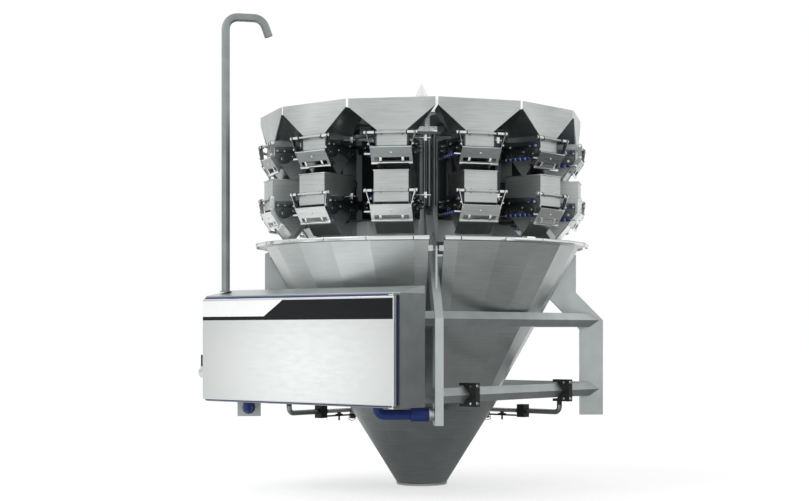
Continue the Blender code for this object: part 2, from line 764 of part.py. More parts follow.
def leg(turn):
    """One leg with its arm, the blade on the arm and the cross pin that two chutes hang on."""
    inner = LEG_OUTER_R - LEG_DEPTH
    upper_sum = LEG_OUTER_R + LEG_BEND_Z
    lower_sum = inner + LEG_BEND_Z - LEG_DEPTH * math.tan(LEG_BEND / 2)
    end = BASE_APOTHEM + SEAT
    top_z = min(ARM_TOP_Z, upper_sum - end - ARM_FLAT)
    outline = [
        (inner, 0), (LEG_OUTER_R, 0), (LEG_OUTER_R, LEG_BEND_Z), (upper_sum - top_z, top_z),
        (end, top_z), (end, lower_sum - end), (inner, lower_sum - inner),
    ]
    pieces = [plate(outline, -LEG_WIDTH / 2, LEG_WIDTH / 2)]
    sunk = upper_sum - LEG_WIDTH / 4
    blade = [
        (BLADE_OUTER_R, sunk - BLADE_OUTER_R), (BLADE_OUTER_R, BLADE_OUTER_Z),
        (BLADE_INNER_R, BLADE_INNER_Z), (BLADE_INNER_R, sunk - BLADE_INNER_R),
    ]
    pieces.append(plate(blade, -BLADE_THICKNESS / 2, BLADE_THICKNESS / 2))
    half = CHUTE_PIN_LENGTH / 2
    pieces.append(bar(
        (CHUTE_PIN_R, -half, CHUTE_PIN_Z), (CHUTE_PIN_R, half, CHUTE_PIN_Z),
        CHUTE_PIN_RADIUS, CHUTE_PIN_SIDES,
    ))
    for thing in pieces:
        thing.data.transform(turned(turn))
    return pieces


def beam(turn, height):
    """A square tube standing on edge along one side, mitred at the legs' middle planes."""
    corners = [
        (BEAM_RIDGE, height), (BEAM_AXIS, height + BEAM_HALF_DIAGONAL),
        (BEAM_AXIS - BEAM_HALF_DIAGONAL, height), (BEAM_AXIS, height - BEAM_HALF_DIAGONAL),
    ]
    bm = bmesh.new()
    ends = []
    for side in (-1, 1):
        ends.append([bm.verts.new((x, side * (x - SINK), z)) for x, z in corners])
    for k in range(4):
        n = (k + 1) % 4
        bm.faces.new((ends[0][k], ends[0][n], ends[1][n], ends[1][k]))
    bm.faces.new(ends[0])
    bm.faces.new(ends[1])
    thing = loose(bm)
    thing.data.transform(turned(turn))
    return thing


def funnel_bracket():
    """The T-shaped bracket between the front leg and the funnel."""
    low, high = BRACKET_Z - BRACKET_HEIGHT / 2, BRACKET_Z + BRACKET_HEIGHT / 2
    reach = funnel_radius(high) + FUNNEL_LIP
    half = BRACKET_THICKNESS / 2
    stem = block((reach, -half, low), (LEG_OUTER_R - LEG_DEPTH + SINK, half, high))
    cross = block((reach, -BRACKET_SPAN / 2, low), (reach + BRACKET_THICKNESS, BRACKET_SPAN / 2, high))
    pieces = [stem, cross]
    for thing in pieces:
        thing.data.transform(turned(FRONT_LEG_ANGLE))
    return pieces


def cabinet_bars():
    """Two upright bars on the front beams that the cabinet is bolted to."""
    pieces = []
    face = CABINET_BACK_Y + SEAT
    for side in (-1, 1):
        x = side * CABINET_BAR_X
        pieces.append(block(
            (x - CABINET_BAR_WIDTH / 2, face, LOWER_BEAM_Z - BEAM_SIDE / 2),
            (x + CABINET_BAR_WIDTH / 2, face + CABINET_BAR_THICKNESS, UPPER_BEAM_Z + BEAM_SIDE / 2),
        ))
        for z in (LOWER_BEAM_Z, UPPER_BEAM_Z):
            pieces.append(block(
                (x - CABINET_BAR_THICKNESS, face + CABINET_BAR_THICKNESS / 2, z - CABINET_BAR_WIDTH / 4),
                (x + CABINET_BAR_THICKNESS, SINK - BEAM_AXIS, z + CABINET_BAR_WIDTH / 4),
            ))
    return pieces


def build_frame():
    pieces = []
    for k in range(LEGS):
        pieces += leg(FRONT_LEG_ANGLE + k * QUARTER)
    for k in range(LEGS):
        pieces += [beam(k * QUARTER, LOWER_BEAM_Z), beam(k * QUARTER, UPPER_BEAM_Z)]
    pieces += funnel_bracket() + cabinet_bars()
    part("frame", baked(union(pieces)), BLASTED)


def chute_row(corner_r, z, inset):
    """Points round one quarter at one height: a returned end, the facet corners, a returned end."""
    pitch = QUARTER / CHUTE_FACETS
    apothem = corner_r * math.cos(pitch / 2)
    half_gap = CHUTE_GAP / 2
    start, end = -QUARTER / 2, QUARTER / 2
    first = [Vector((apothem - inset, half_gap, z)), Vector((apothem, half_gap, z))]
    last = [Vector((apothem, -half_gap, z)), Vector((apothem - inset, -half_gap, z))]
    corners = [
        Vector((corner_r * math.cos(a), corner_r * math.sin(a), z))
        for a in [start + (k + 0.5) * pitch for k in range(CHUTE_FACETS)]
    ]
    return (
        [turned(start) @ p for p in first] + corners + [turned(end) @ p for p in last]
    )


def chute_ear(side):
    """The hooked ear at one end of a chute, resting on the arm's cross pin."""
    top = CHUTE_PIN_Z + CHUTE_PIN_RADIUS + SEAT
    skirt = CHUTE_PIN_Z - EAR_SKIRT
    slot = CHUTE_PIN_RADIUS + PIN_CLEARANCE
    inner_r, outer_r = CHUTE_PIN_R - slot, CHUTE_PIN_R + slot
    outline = [
        (inner_r - EAR_WALL, skirt), (inner_r, skirt), (inner_r, top), (outer_r, top),
        (outer_r, skirt), (outer_r + EAR_WALL, skirt), (outer_r + EAR_WALL, top + EAR_TOP),
        (inner_r - EAR_WALL, top + EAR_TOP),
    ]
    outer = CHUTE_GAP / 2
    ear = plate(outline, outer - EAR_REACH, outer)
    if side > 0:
        ear.data.transform(Matrix.Diagonal((1, -1, 1, 1)))
        ear.data.flip_normals()
    ear.data.transform(turned(side * QUARTER / 2))
    return ear


def build_chutes():
    rows = [
        chute_row(CHUTE_BOTTOM_R, CHUTE_BOTTOM_Z, CHUTE_RETURN),
        chute_row(CHUTE_TOP_R, CHUTE_TOP_Z, CHUTE_RETURN),
        chute_row(CHUTE_LIP_R, CHUTE_LIP_Z, CHUTE_RETURN),
    ]
    shell = sheet(rows, SHEET, 0)
    mesh = baked(union([shell, chute_ear(-1), chute_ear(1)]))
    for k, name in enumerate(("right", "back", "left", "front")):
        part("chute_" + name, mesh, STAINLESS, turned(k * QUARTER))


def funnel_radius(z):
    share = (z - FUNNEL_OUTLET_Z) / (FUNNEL_TOP_Z - FUNNEL_OUTLET_Z)
    return FUNNEL_OUTLET_R + (FUNNEL_TOP_R - FUNNEL_OUTLET_R) * share


def build_funnel():
    fall = FUNNEL_LIP * (FUNNEL_TOP_R - FUNNEL_OUTLET_R) / (FUNNEL_TOP_Z - FUNNEL_OUTLET_Z)
    profile = [
        (FUNNEL_OUTLET_R - FUNNEL_WALL, FUNNEL_OUTLET_Z),
        (FUNNEL_OUTLET_R + FUNNEL_LIP, FUNNEL_OUTLET_Z),
        (FUNNEL_OUTLET_R + FUNNEL_LIP, FUNNEL_OUTLET_Z + FUNNEL_LIP),
        (FUNNEL_OUTLET_R + fall, FUNNEL_OUTLET_Z + FUNNEL_LIP),
        (FUNNEL_TOP_R, FUNNEL_TOP_Z),
        (FUNNEL_TOP_R - FUNNEL_WALL, FUNNEL_TOP_Z),
    ]
    part("discharge_funnel", baked(lathe(profile, FUNNEL_SIDES)), STAINLESS)


def clamp(along):
    """A V-notched clamp on the outer ridge of the lower beam, at a place along the beam."""
    low, high = LOWER_BEAM_Z - CLAMP_HEIGHT / 2, LOWER_BEAM_Z + CLAMP_HEIGHT / 2
    outer = BEAM_RIDGE + CLAMP_DEPTH
    notch = BEAM_RIDGE + SEAT * math.sqrt(2)
    flank = notch - CLAMP_HEIGHT / 2 + CLAMP_JAW
    tip = BEAM_RIDGE - JAW_REACH
    outline = [
        (outer, low), (outer, high), (tip, high), (tip, high - CLAMP_JAW), (flank, high - CLAMP_JAW),
        (notch, LOWER_BEAM_Z), (flank, low + CLAMP_JAW), (tip, low + CLAMP_JAW), (tip, low),
    ]
    return plate(outline, along - CLAMP_LENGTH / 2, along + CLAMP_LENGTH / 2)


def funnel_support():
    """Clamp, bent tube, clamp block, rod and clip that hold the funnel on one side."""
    pieces = [clamp(SUPPORT_ALONG)]
    y = SUPPORT_ALONG
    drop_x = BEAM_AXIS
    low = LOWER_BEAM_Z - CLAMP_HEIGHT / 2
    bend = SUPPORT_TUBE_BEND
    corner = arc((drop_x - bend, y, SUPPORT_TUBE_Z + bend), (bend, 0, 0), (0, 0, -bend),
                 math.pi / 2, SMALL_BEND_STEPS)
    path = [(drop_x, y, low + CLAMP_JAW / 2)] + corner + [(SUPPORT_TUBE_END, y, SUPPORT_TUBE_Z)]
    pieces.append(swept(path, SUPPORT_TUBE_RADIUS, SUPPORT_TUBE_SIDES))
    pieces.append(block(
        (BLOCK_X - BLOCK_LENGTH / 2, y - BLOCK_WIDTH / 2, SUPPORT_TUBE_Z - BLOCK_HEIGHT / 2),
        (BLOCK_X + BLOCK_LENGTH / 2, y + BLOCK_WIDTH / 2, SUPPORT_TUBE_Z + BLOCK_HEIGHT / 2),
    ))
    rod_z = SUPPORT_TUBE_Z - CLIP_ROD_DROP
    clip_r = funnel_radius(rod_z + CLIP_HEIGHT / 2) + SEAT
    clip_x = math.sqrt(clip_r ** 2 - (y - CLIP_WIDTH / 2) ** 2)
    pieces.append(bar((clip_x + SINK, y, rod_z), (BLOCK_X, y, rod_z), CLIP_ROD_RADIUS, CHUTE_PIN_SIDES))
    pieces.append(block(
        (clip_x, y - CLIP_WIDTH / 2, rod_z - CLIP_HEIGHT / 2),
        (clip_x + CLIP_THICKNESS, y + CLIP_WIDTH / 2, rod_z + CLIP_HEIGHT / 2),
    ))
    return union(pieces)


def build_funnel_supports():
    mirror = Matrix(((0, -1, 0, 0), (-1, 0, 0, 0), (0, 0, 1, 0), (0, 0, 0, 1)))
    support = baked(funnel_support())
    near = baked(clamp(NEAR_CLAMP_ALONG))
    for name, mesh in (("funnel_support", support), ("beam_clamp", near)):
        part(name + "_right", mesh, BLACK)
        other = mesh.copy()
        other.transform(mirror)
        other.flip_normals()
        part(name + "_left", other, BLACK)


def cabinet_outline(inset):
    """The cabinet's end: upright back and front under a roof that falls forward."""
    back, front = CABINET_BACK_Y - inset, CABINET_FRONT_Y + inset
    bottom = CABINET_BOTTOM_Z + inset
    top = CABINET_BACK_TOP_Z - inset * math.sqrt(1 + ROOF_SLOPE ** 2)
    return [
        (back, bottom), (front, bottom),
        (front, top - (CABINET_BACK_Y - front) * ROOF_SLOPE),
        (back, top - (CABINET_BACK_Y - back) * ROOF_SLOPE),
    ]


def across(outline, low, high):
    """A prism along X from an outline of (y, z) points."""
    bm = bmesh.new()
    face = bm.faces.new([bm.verts.new((low, y, z)) for y, z in outline])
    grown = bmesh.ops.extrude_face_region(bm, geom=[face])
    moved = [item for item in grown["geom"] if isinstance(item, bmesh.types.BMVert)]
    bmesh.ops.translate(bm, verts=moved, vec=(high - low, 0, 0))
    return loose(bm)


def hinge(tab_low, pin_low, pin_high):
    """One hinge of the door: a tab on the cabinet's front with an upright pin."""
    tab = block(
        (HINGE_X - HINGE_TAB_WIDTH / 2, DOOR_FRONT_Y, tab_low),
        (HINGE_X + HINGE_TAB_WIDTH / 2, CABINET_FRONT_Y + SINK, tab_low + HINGE_TAB_THICKNESS),
    )
    pin = bar((HINGE_X, HINGE_Y, pin_low), (HINGE_X, HINGE_Y, pin_high), HINGE_PIN_RADIUS, EYE_SIDES)
    return [tab, pin]


def main_switch():
    """The main switch on the cabinet's left end: a barrel with its grip above."""
    inside = SINK - CABINET_WIDTH / 2
    middle_y = SWITCH_FRONT_Y + BARREL_RADIUS
    barrel = bar((inside, middle_y, BARREL_Z), (-CABINET_WIDTH / 2 - BARREL_REACH, middle_y, BARREL_Z),
                 BARREL_RADIUS, BARREL_SIDES)
    foot_z = BARREL_Z + BARREL_RADIUS
    grip = block(
        (-CABINET_WIDTH / 2 - GRIP_REACH, SWITCH_FRONT_Y, foot_z - BARREL_RADIUS / 2),
        (inside, SWITCH_FRONT_Y + GRIP_WIDTH, foot_z + GRIP_HEIGHT),
    )
    return [barrel, grip]


def build_cabinet():
    half = CABINET_WIDTH / 2
    shell = across(cabinet_outline(0), -half, half)
    hollow = across(cabinet_outline(CABINET_SHEET), CABINET_SHEET - half, half - CABINET_SHEET)
    window = block(
        (CABINET_RETURN - DOOR_HALF, CABINET_FRONT_Y - CUT_OVERRUN, DOOR_BOTTOM_Z + CABINET_RETURN),
        (DOOR_HALF - CABINET_RETURN, CABINET_FRONT_Y + CUT_OVERRUN, DOOR_TOP_Z - CABINET_RETURN),
    )
    shell = cut(shell, [hollow, window])
    upper_tab = DOOR_TOP_Z + HINGE_TAB_GAP
    upper = hinge(upper_tab, DOOR_TOP_Z - HINGE_PIN_DEPTH, upper_tab + HINGE_TAB_THICKNESS / 2)
    lower = hinge(CABINET_BOTTOM_Z, CABINET_BOTTOM_Z + HINGE_TAB_THICKNESS / 2,
                  DOOR_BOTTOM_Z + HINGE_PIN_DEPTH)
    part("cabinet", baked(union([shell] + upper + lower + main_switch())), STAINLESS)


def is_door_front(edge):
    """The four edges round the front of the door."""
    return all(v.co.y < DOOR_FRONT_Y + SEAT for v in edge.verts)


def build_door():
    """The cabinet door: a flat pan with its seal behind, hung on two pins at its right end."""
    slab = block((-DOOR_HALF, DOOR_FRONT_Y, DOOR_BOTTOM_Z), (DOOR_HALF, DOOR_BACK_Y, DOOR_TOP_Z))
    slab = rounded(slab, DOOR_ROUNDING, DOOR_ROUNDING_STEPS, is_door_front)
    low = Vector((GASKET_INSET - DOOR_HALF, DOOR_BACK_Y - SINK, DOOR_BOTTOM_Z + GASKET_INSET))
    high = Vector((DOOR_HALF - GASKET_INSET, DOOR_BACK_Y + GASKET_DEPTH, DOOR_TOP_Z - GASKET_INSET))
    inner = Vector((GASKET_WIDTH, -CUT_OVERRUN, GASKET_WIDTH))
    gasket = cut(block(low, high), [block(low + inner, high - inner)])
    depth = HINGE_PIN_DEPTH + PIN_CLEARANCE
    bore = HINGE_PIN_RADIUS + PIN_CLEARANCE
    holes = [
        bar((HINGE_X, HINGE_Y, low_z), (HINGE_X, HINGE_Y, high_z), bore, EYE_SIDES)
        for low_z, high_z in (
            (DOOR_TOP_Z - depth, DOOR_TOP_Z + CUT_OVERRUN),
            (DOOR_BOTTOM_Z - CUT_OVERRUN, DOOR_BOTTOM_Z + depth),
        )
    ]
    mesh = baked(cut(union([slab, gasket]), holes))
    axis = Vector((HINGE_X, HINGE_Y, 0))
    mesh.transform(Matrix.Translation(-axis))
    part("cabinet_door", mesh, POLISHED, Matrix.Translation(axis))


def build_mast():
    foot_z = CABINET_BACK_TOP_Z - (CABINET_BACK_Y - MAST_Y - MAST_RADIUS) * ROOF_SLOPE + SEAT
    inward = Vector((-MAST_X, -MAST_Y, 0)).normalized()
    up = Vector((0, 0, 1))
    foot = Vector((MAST_X, MAST_Y, 0))
    first = arc(foot + inward * MAST_BEND_R + up * (MAST_TOP_Z - MAST_BEND_R),
                -inward * MAST_BEND_R, up * MAST_BEND_R, math.pi / 2, BEND_STEPS)
    spout = MAST_SPOUT_ANGLE
    second = arc(foot + inward * MAST_REACH + up * (MAST_TOP_Z - MAST_BEND_R),
                 up * MAST_BEND_R, inward * MAST_BEND_R, spout, BEND_STEPS)
    out = inward * math.cos(spout) - up * math.sin(spout)
    path = [foot + up * foot_z] + first + second + [second[-1] + out * MAST_SPOUT]
    tube = swept(path, MAST_RADIUS, MAST_SIDES)
    mouth = bar(path[-1] - out * MAST_SPOUT, path[-1] + out * CUT_OVERRUN, MAST_BORE, MAST_SIDES)
    part("mast", baked(cut(tube, [mouth])), BLASTED)


def conduit(side):
    """A conduit that drops from the cabinet, bends and runs squarely into the leg's side."""
    angle = FRONT_LEG_ANGLE if side > 0 else FRONT_LEG_ANGLE - QUARTER
    outward = Vector((math.cos(angle), math.sin(angle), 0))
    sideways = Vector((math.sin(angle), -math.cos(angle), 0)) * side
    seat = outward * CONDUIT_LEG_R + sideways * (LEG_WIDTH / 2 + SEAT) + Vector((0, 0, CONDUIT_Z))
    start = seat + sideways * CONDUIT_RUN
    start.z = CABINET_BOTTOM_Z - SEAT
    down = Vector((0, 0, -1))
    bend_r = start.z - CONDUIT_Z - CONDUIT_STUB
    corner = arc(start - sideways * bend_r + down * CONDUIT_STUB, sideways * bend_r, down * bend_r,
                 math.pi / 2, SMALL_BEND_STEPS)
    pieces = [swept([start] + corner + [seat], CONDUIT_RADIUS, CONDUIT_SIDES)]
    pieces.append(bar(seat + sideways * (SLEEVE_MARGIN + SLEEVE_LENGTH), seat + sideways * SLEEVE_MARGIN,
                      SLEEVE_RADIUS, CONDUIT_SIDES))
    return union(pieces)


def build_conduits():
    for name, side in (("right", 1), ("left", -1)):
        part("conduit_" + name, baked(conduit(side)), BLUE)


clear_scene()
MACHINE = bpy.data.objects.new("machine_axis", None)
bpy.context.scene.collection.objects.link(MACHINE)
MACHINE.location = -FOOT_R * Vector((math.cos(FRONT_LEG_ANGLE), math.sin(FRONT_LEG_ANGLE), 0))
build_heads()
build_central_body()
build_feeders()
build_frame()
build_chutes()
build_funnel()
build_funnel_supports()
build_cabinet()
build_door()
build_mast()
build_conduits()
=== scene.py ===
# %% [markdown]
# # A twelve-head multihead weigher
#
# A multihead weigher stands over a packing machine. Product falls on a cone, shakes along twelve
# pans and drops into twelve pool hoppers and then twelve weigh hoppers. The best set of weighings
# falls down the chutes and the funnel into one bag.
#
# The solid model comes as a fixed frame of 54 nodes. This notebook adds what a solid model leaves
# out: the bolts, springs, collars and folded edges, and a finish for every surface.

# %% The frame and its axis
import json
import math

import bmesh
import bpy
from mathutils import Matrix, Vector


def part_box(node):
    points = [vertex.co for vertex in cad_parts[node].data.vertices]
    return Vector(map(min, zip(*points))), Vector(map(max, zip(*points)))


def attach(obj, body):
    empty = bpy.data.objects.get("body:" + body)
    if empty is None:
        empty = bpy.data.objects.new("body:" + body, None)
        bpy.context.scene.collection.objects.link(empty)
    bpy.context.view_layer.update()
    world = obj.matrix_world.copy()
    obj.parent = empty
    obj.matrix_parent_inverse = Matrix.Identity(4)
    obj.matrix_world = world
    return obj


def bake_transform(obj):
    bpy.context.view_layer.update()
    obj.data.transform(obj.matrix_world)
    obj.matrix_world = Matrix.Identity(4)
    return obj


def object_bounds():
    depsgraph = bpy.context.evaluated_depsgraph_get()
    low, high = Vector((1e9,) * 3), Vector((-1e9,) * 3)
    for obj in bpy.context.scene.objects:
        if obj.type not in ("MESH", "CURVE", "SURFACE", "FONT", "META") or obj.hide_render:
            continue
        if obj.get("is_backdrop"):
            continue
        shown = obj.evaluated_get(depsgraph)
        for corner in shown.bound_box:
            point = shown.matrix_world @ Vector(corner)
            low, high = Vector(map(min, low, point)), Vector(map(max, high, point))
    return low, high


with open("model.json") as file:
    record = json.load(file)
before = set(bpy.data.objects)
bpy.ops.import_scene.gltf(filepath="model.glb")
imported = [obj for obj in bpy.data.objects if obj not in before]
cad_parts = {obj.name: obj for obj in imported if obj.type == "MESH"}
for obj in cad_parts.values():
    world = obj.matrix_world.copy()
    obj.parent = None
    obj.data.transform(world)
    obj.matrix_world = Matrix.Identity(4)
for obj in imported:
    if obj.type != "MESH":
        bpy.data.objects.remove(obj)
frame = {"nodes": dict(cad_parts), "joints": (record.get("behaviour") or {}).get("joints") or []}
CAD_LOW, CAD_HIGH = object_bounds()
NODES = frame["nodes"]
MM = 0.001
HEADS = 12
cone_low, cone_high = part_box("dispersion_cone")
AXIS = Vector(((cone_low.x + cone_high.x) / 2, (cone_low.y + cone_high.y) / 2, 0))
print("nodes", len(NODES), "axis", AXIS[:], "box", CAD_LOW[:], CAD_HIGH[:])

# %% [markdown]
# ## Camera
#
# The photograph was taken with a long lens, held level, with the picture shifted: upright edges of
# the machine stay upright in it. A level camera with a small shift gives the same, where a tilted
# one would make the legs lean.

# %% Camera
FRAME_WIDTH = 809
SHIFT_RIGHT = -17.2  # pixels
SHIFT_UP = 82.2  # pixels
LENS_LENGTH = 70.18  # millimetres, over a film 36 mm wide
CAMERA_OFFSET = Vector((4.740, -5.630, 0.385))


def placed(name, data):
    """A new object with this data, in the scene."""
    made = bpy.data.objects.new(name, data)
    bpy.context.scene.collection.objects.link(made)
    return made


lens = bpy.data.cameras.new("camera")
lens.lens = LENS_LENGTH
lens.sensor_width = 36
lens.shift_x = SHIFT_RIGHT / FRAME_WIDTH
lens.shift_y = SHIFT_UP / FRAME_WIDTH
camera = placed("camera", lens)
camera.location = AXIS + CAMERA_OFFSET
level_look = Vector((-CAMERA_OFFSET.x, -CAMERA_OFFSET.y, 0))
camera.rotation_euler = level_look.to_track_quat("-Z", "Y").to_euler()
bpy.context.scene.camera = camera
bpy.context.scene.view_settings.view_transform = "Standard"
print("camera", [round(c, 3) for c in camera.location])

# %% [markdown]
# ## Helpers for materials
#
# A colour is written as the hex value that a paint chip or a screen shows, and Blender works with
# linear light, so one function turns the one into the other. Another adds a node to a material with
# its settings and its links, so that each finish below reads as a short list of nodes. Two more let a
# pattern carry the colour and the relief, which every finish does.

# %% Colour and node helpers
def linear(hex_colour):
    """A screen colour such as B5B9B8 as linear red, green, blue and alpha."""
    channels = [int(hex_colour[k:k + 2], 16) / 255 for k in (0, 2, 4)]
    return tuple(c / 12.92 if c <= 0.04045 else ((c + 0.055) / 1.055) ** 2.4 for c in channels) + (1,)


def add(tree, kind, inputs=None, **settings):
    """Adds a node: settings are its own properties, inputs its sockets' values or incoming links."""
    made = tree.nodes.new(kind)
    for name, value in settings.items():
        setattr(made, name, value)
    for socket, value in (inputs or {}).items():
        if isinstance(value, bpy.types.NodeSocket):
            tree.links.new(value, made.inputs[socket])
        else:
            made.inputs[socket].default_value = value
    return made


def new_finish(name, metallic, roughness):
    """An empty material with its shader, and the coordinates that its patterns read."""
    made = bpy.data.materials.new(name)
    made.use_nodes = True
    tree = made.node_tree
    shader = tree.nodes["Principled BSDF"]
    shader.inputs["Metallic"].default_value = metallic
    shader.inputs["Roughness"].default_value = roughness
    place = add(tree, "ShaderNodeTexCoord").outputs["Object"]
    return made, tree, shader, place


def tint(tree, shader, pattern, dark, light):
    """Lets a pattern carry the base colour from one hex colour to another."""
    mixed = add(tree, "ShaderNodeMix", {0: pattern, 6: linear(dark), 7: linear(light)}, data_type="RGBA")
    tree.links.new(mixed.outputs[2], shader.inputs["Base Color"])


def relief(tree, shader, pattern, strength, depth):
    """Lets a pattern shade the surface as dents of a depth in metres."""
    bump = add(tree, "ShaderNodeBump", {"Height": pattern, "Strength": strength, "Distance": depth})
    tree.links.new(bump.outputs[0], shader.inputs["Normal"])


print("white", linear("FFFFFF"))

# %% [markdown]
# ## Brushed stainless steel
#
# Food machines are built from sheets of chromium-nickel stainless steel, ground with a belt. The belt
# leaves fine parallel lines, which spread a reflection sideways and give the sheet a soft grain. The
# real lines are a tenth of a millimetre apart, far finer than a pixel here, so the streaks are drawn
# 3 mm apart and 120 mm long. They lie level, as on the real sheets. A picture of a sheet could be laid
# on, but it would repeat. Noise pressed flat along one direction never does, and it needs no layout
# of the surface.

# %% Brushed stainless steel
STREAK_PITCH = 3.0
STREAK_LENGTH = 120.0
STREAK_DEPTH = 0.5 * MM
CLOUD_SIZE = 260.0
GLOSS_SWING = 0.06


def streaks(tree, place, pitch, length):
    """Level streaks: noise pressed flat, so that it runs far along the sheet and short up it."""
    along, over = 1 / (length * MM), 1 / (pitch * MM)
    stretched = add(tree, "ShaderNodeMapping", {"Vector": place, "Scale": (along, along, over)})
    return add(tree, "ShaderNodeTexNoise", {
        "Vector": stretched.outputs[0], "Scale": 1.0, "Detail": 3.0, "Roughness": 0.6,
    }).outputs["Fac"]


def clouds(tree, place, size):
    """Slow mottling, as handling and rolling leave on a sheet."""
    return add(tree, "ShaderNodeTexNoise", {
        "Vector": place, "Scale": 1 / (size * MM), "Detail": 2.0, "Roughness": 0.5,
    }).outputs["Fac"]


def brushed(name, dark, light, roughness, rise=0.05):
    """Ground stainless sheet: streaked in colour, in gloss and a little in relief."""
    made, tree, shader, place = new_finish(name, 1.0, roughness)
    lines = streaks(tree, place, STREAK_PITCH, STREAK_LENGTH)
    mottle = clouds(tree, place, CLOUD_SIZE)
    mixed = add(tree, "ShaderNodeMath", {0: lines, 1: mottle}, operation="ADD").outputs[0]
    spread = add(tree, "ShaderNodeMapRange", {
        "Value": mixed, "From Min": 0.70, "From Max": 1.30, "To Min": 0.0, "To Max": 1.0,
    }).outputs[0]
    tint(tree, shader, spread, dark, light)
    gloss = add(tree, "ShaderNodeMapRange", {
        "Value": lines, "From Min": 0.3, "From Max": 0.7,
        "To Min": roughness - GLOSS_SWING, "To Max": roughness + GLOSS_SWING,
    }).outputs[0]
    tree.links.new(gloss, shader.inputs["Roughness"])
    relief(tree, shader, lines, rise, STREAK_DEPTH)
    return made


BRUSHED = brushed("brushed_stainless_sheet", "A4A9A8", "C2C6C5", 0.34)
FUNNEL_SHEET = brushed("brushed_funnel_sheet", "8E9494", "AAB0AF", 0.36)
CHUTE_SHEET = brushed("brushed_chute_sheet", "A6ACAB", "C0C5C4", 0.36)
# Painted light: the front chute gets a lighter copy of the chute sheet, for the light it catches.
LIT_CHUTE_SHEET = brushed("fine_ground_chute_sheet", "BEC3C2", "D6DAD9", 0.50)
# Painted reflection: the pool gates are painted darker and the weigh gates lighter, for the dark and
# bright surroundings each row mirrors.
SHADED_POOL_GATE_SHEET = brushed("ground_pool_gate_sheet", "7C8181", "959A9A", 0.26)
LIT_WEIGH_GATE_SHEET = brushed("ground_weigh_gate_sheet", "C2C6C5", "DCDFDE", 0.17, 0.03)
print("finishes so far", len(bpy.data.materials))

# %% [markdown]
# ## Bead-blasted stainless steel
#
# The frame, the central body and the mast are blasted with glass beads after welding. That dimples
# the skin, so it shines evenly and softly in every direction and hides weld marks. The dimples are
# about 0.1 mm across; they are drawn at 1.5 mm so that they show as a faint grain. Other matt metals
# have the same fine grain, so the levers' steel, the carriers' castings and the glands' nickel
# plating come from this recipe too. Real dents would need millions of faces, so noise shades them.

# %% Bead-blasted stainless steel
DIMPLE_SIZE = 1.5
DIMPLE_DEPTH = 0.1 * MM
BLAST_CLOUD = 90.0


def blasted(name, dark, light, roughness):
    """Bead-blasted stainless: matt, even, with a fine dimpled grain."""
    made, tree, shader, place = new_finish(name, 1.0, roughness)
    grain = add(tree, "ShaderNodeTexNoise", {
        "Vector": place, "Scale": 1 / (DIMPLE_SIZE * MM), "Detail": 1.0, "Roughness": 0.5,
    }).outputs["Fac"]
    mottle = clouds(tree, place, BLAST_CLOUD)
    mixed = add(tree, "ShaderNodeMath", {0: grain, 1: mottle}, operation="ADD").outputs[0]
    spread = add(tree, "ShaderNodeMapRange", {
        "Value": mixed, "From Min": 0.75, "From Max": 1.25, "To Min": 0.0, "To Max": 1.0,
    }).outputs[0]
    tint(tree, shader, spread, dark, light)
    relief(tree, shader, grain, 0.12, DIMPLE_DEPTH)
    return made


BLASTED = blasted("bead_blasted_stainless", "858B8B", "979D9D", 0.46)
# Painted light: the frame and central body get a lighter copy of the blasted steel, which lifts the
# central body out of the shade between the heads.
LIT_FRAME_SHEET = blasted("blasted_frame_sheet", "AFB4B4", "BDC2C2", 0.48)
# The deck's dark colour is painted shade under and between its pans; faces that look up get the steel's
# own colour below.
DECK_SHADED_SHEET = blasted("blasted_deck_sheet", "636969", "737979", 0.45)
DARK_STEEL = blasted("burnished_lever_steel", "3C3F41", "4C5052", 0.40)
CASTING_GREY = blasted("cast_aluminium_carrier", "555A5B", "666B6C", 0.42)
GLAND_NICKEL = blasted("nickel_plated_gland", "B4B8B8", "C4C8C8", 0.34)
print("finishes so far", len(bpy.data.materials))

# %% [markdown]
# ## Polished stainless steel
#
# The cabinet door, the cone, the sleeves and the turned collars are polished, so they mirror their
# surroundings with a slight blur. A perfect mirror would look like glass, so wiping marks, some 60 mm
# long, vary the gloss. The base colour is lighter than that of ground steel, and even.

# %% Polished stainless steel
WIPE_WIDTH = 14.0
WIPE_LENGTH = 60.0


def polished(name, colour, roughness):
    """Polished stainless: a blurred mirror with faint wiping marks in its gloss."""
    made, tree, shader, place = new_finish(name, 1.0, roughness)
    shader.inputs["Base Color"].default_value = linear(colour)
    wipes = streaks(tree, place, WIPE_WIDTH, WIPE_LENGTH)
    gloss = add(tree, "ShaderNodeMapRange", {
        "Value": wipes, "From Min": 0.3, "From Max": 0.7,
        "To Min": roughness - 0.03, "To Max": roughness + 0.04,
    }).outputs[0]
    tree.links.new(gloss, shader.inputs["Roughness"])
    return made


POLISHED = polished("polished_stainless", "D9DBDA", 0.16)
# Painted reflection: the cone is painted near white, lighter than the other polished steel, for the
# bright studio it mirrors.
LIT_CONE_SHEET = polished("polished_cone_sheet", "E6E8E8", 0.24)
DOOR_SHEET = polished("polished_door_sheet", "D4D7D6", 0.22)
print("finishes so far", len(bpy.data.materials))

# %% [markdown]
# ## Moulded plastics
#
# Clamps, knobs and handles are glass-filled nylon: almost black, with the faint grain of a spark-cut
# mould. Conduits, spring beads and the door seal are blue, because food makers choose a colour that
# no food has. Rollers and washers are white acetal, which runs dry on steel. Plastic isn't a metal:
# its colour lies under a clear grey sheen. The mould's grain is about 0.1 mm wide and is drawn at
# 1.2 mm, as relief that noise gives.

# %% Moulded plastics
MOULD_GRAIN = 1.2
MOULD_DEPTH = 0.1 * MM
PLASTIC_CLOUD = 60.0


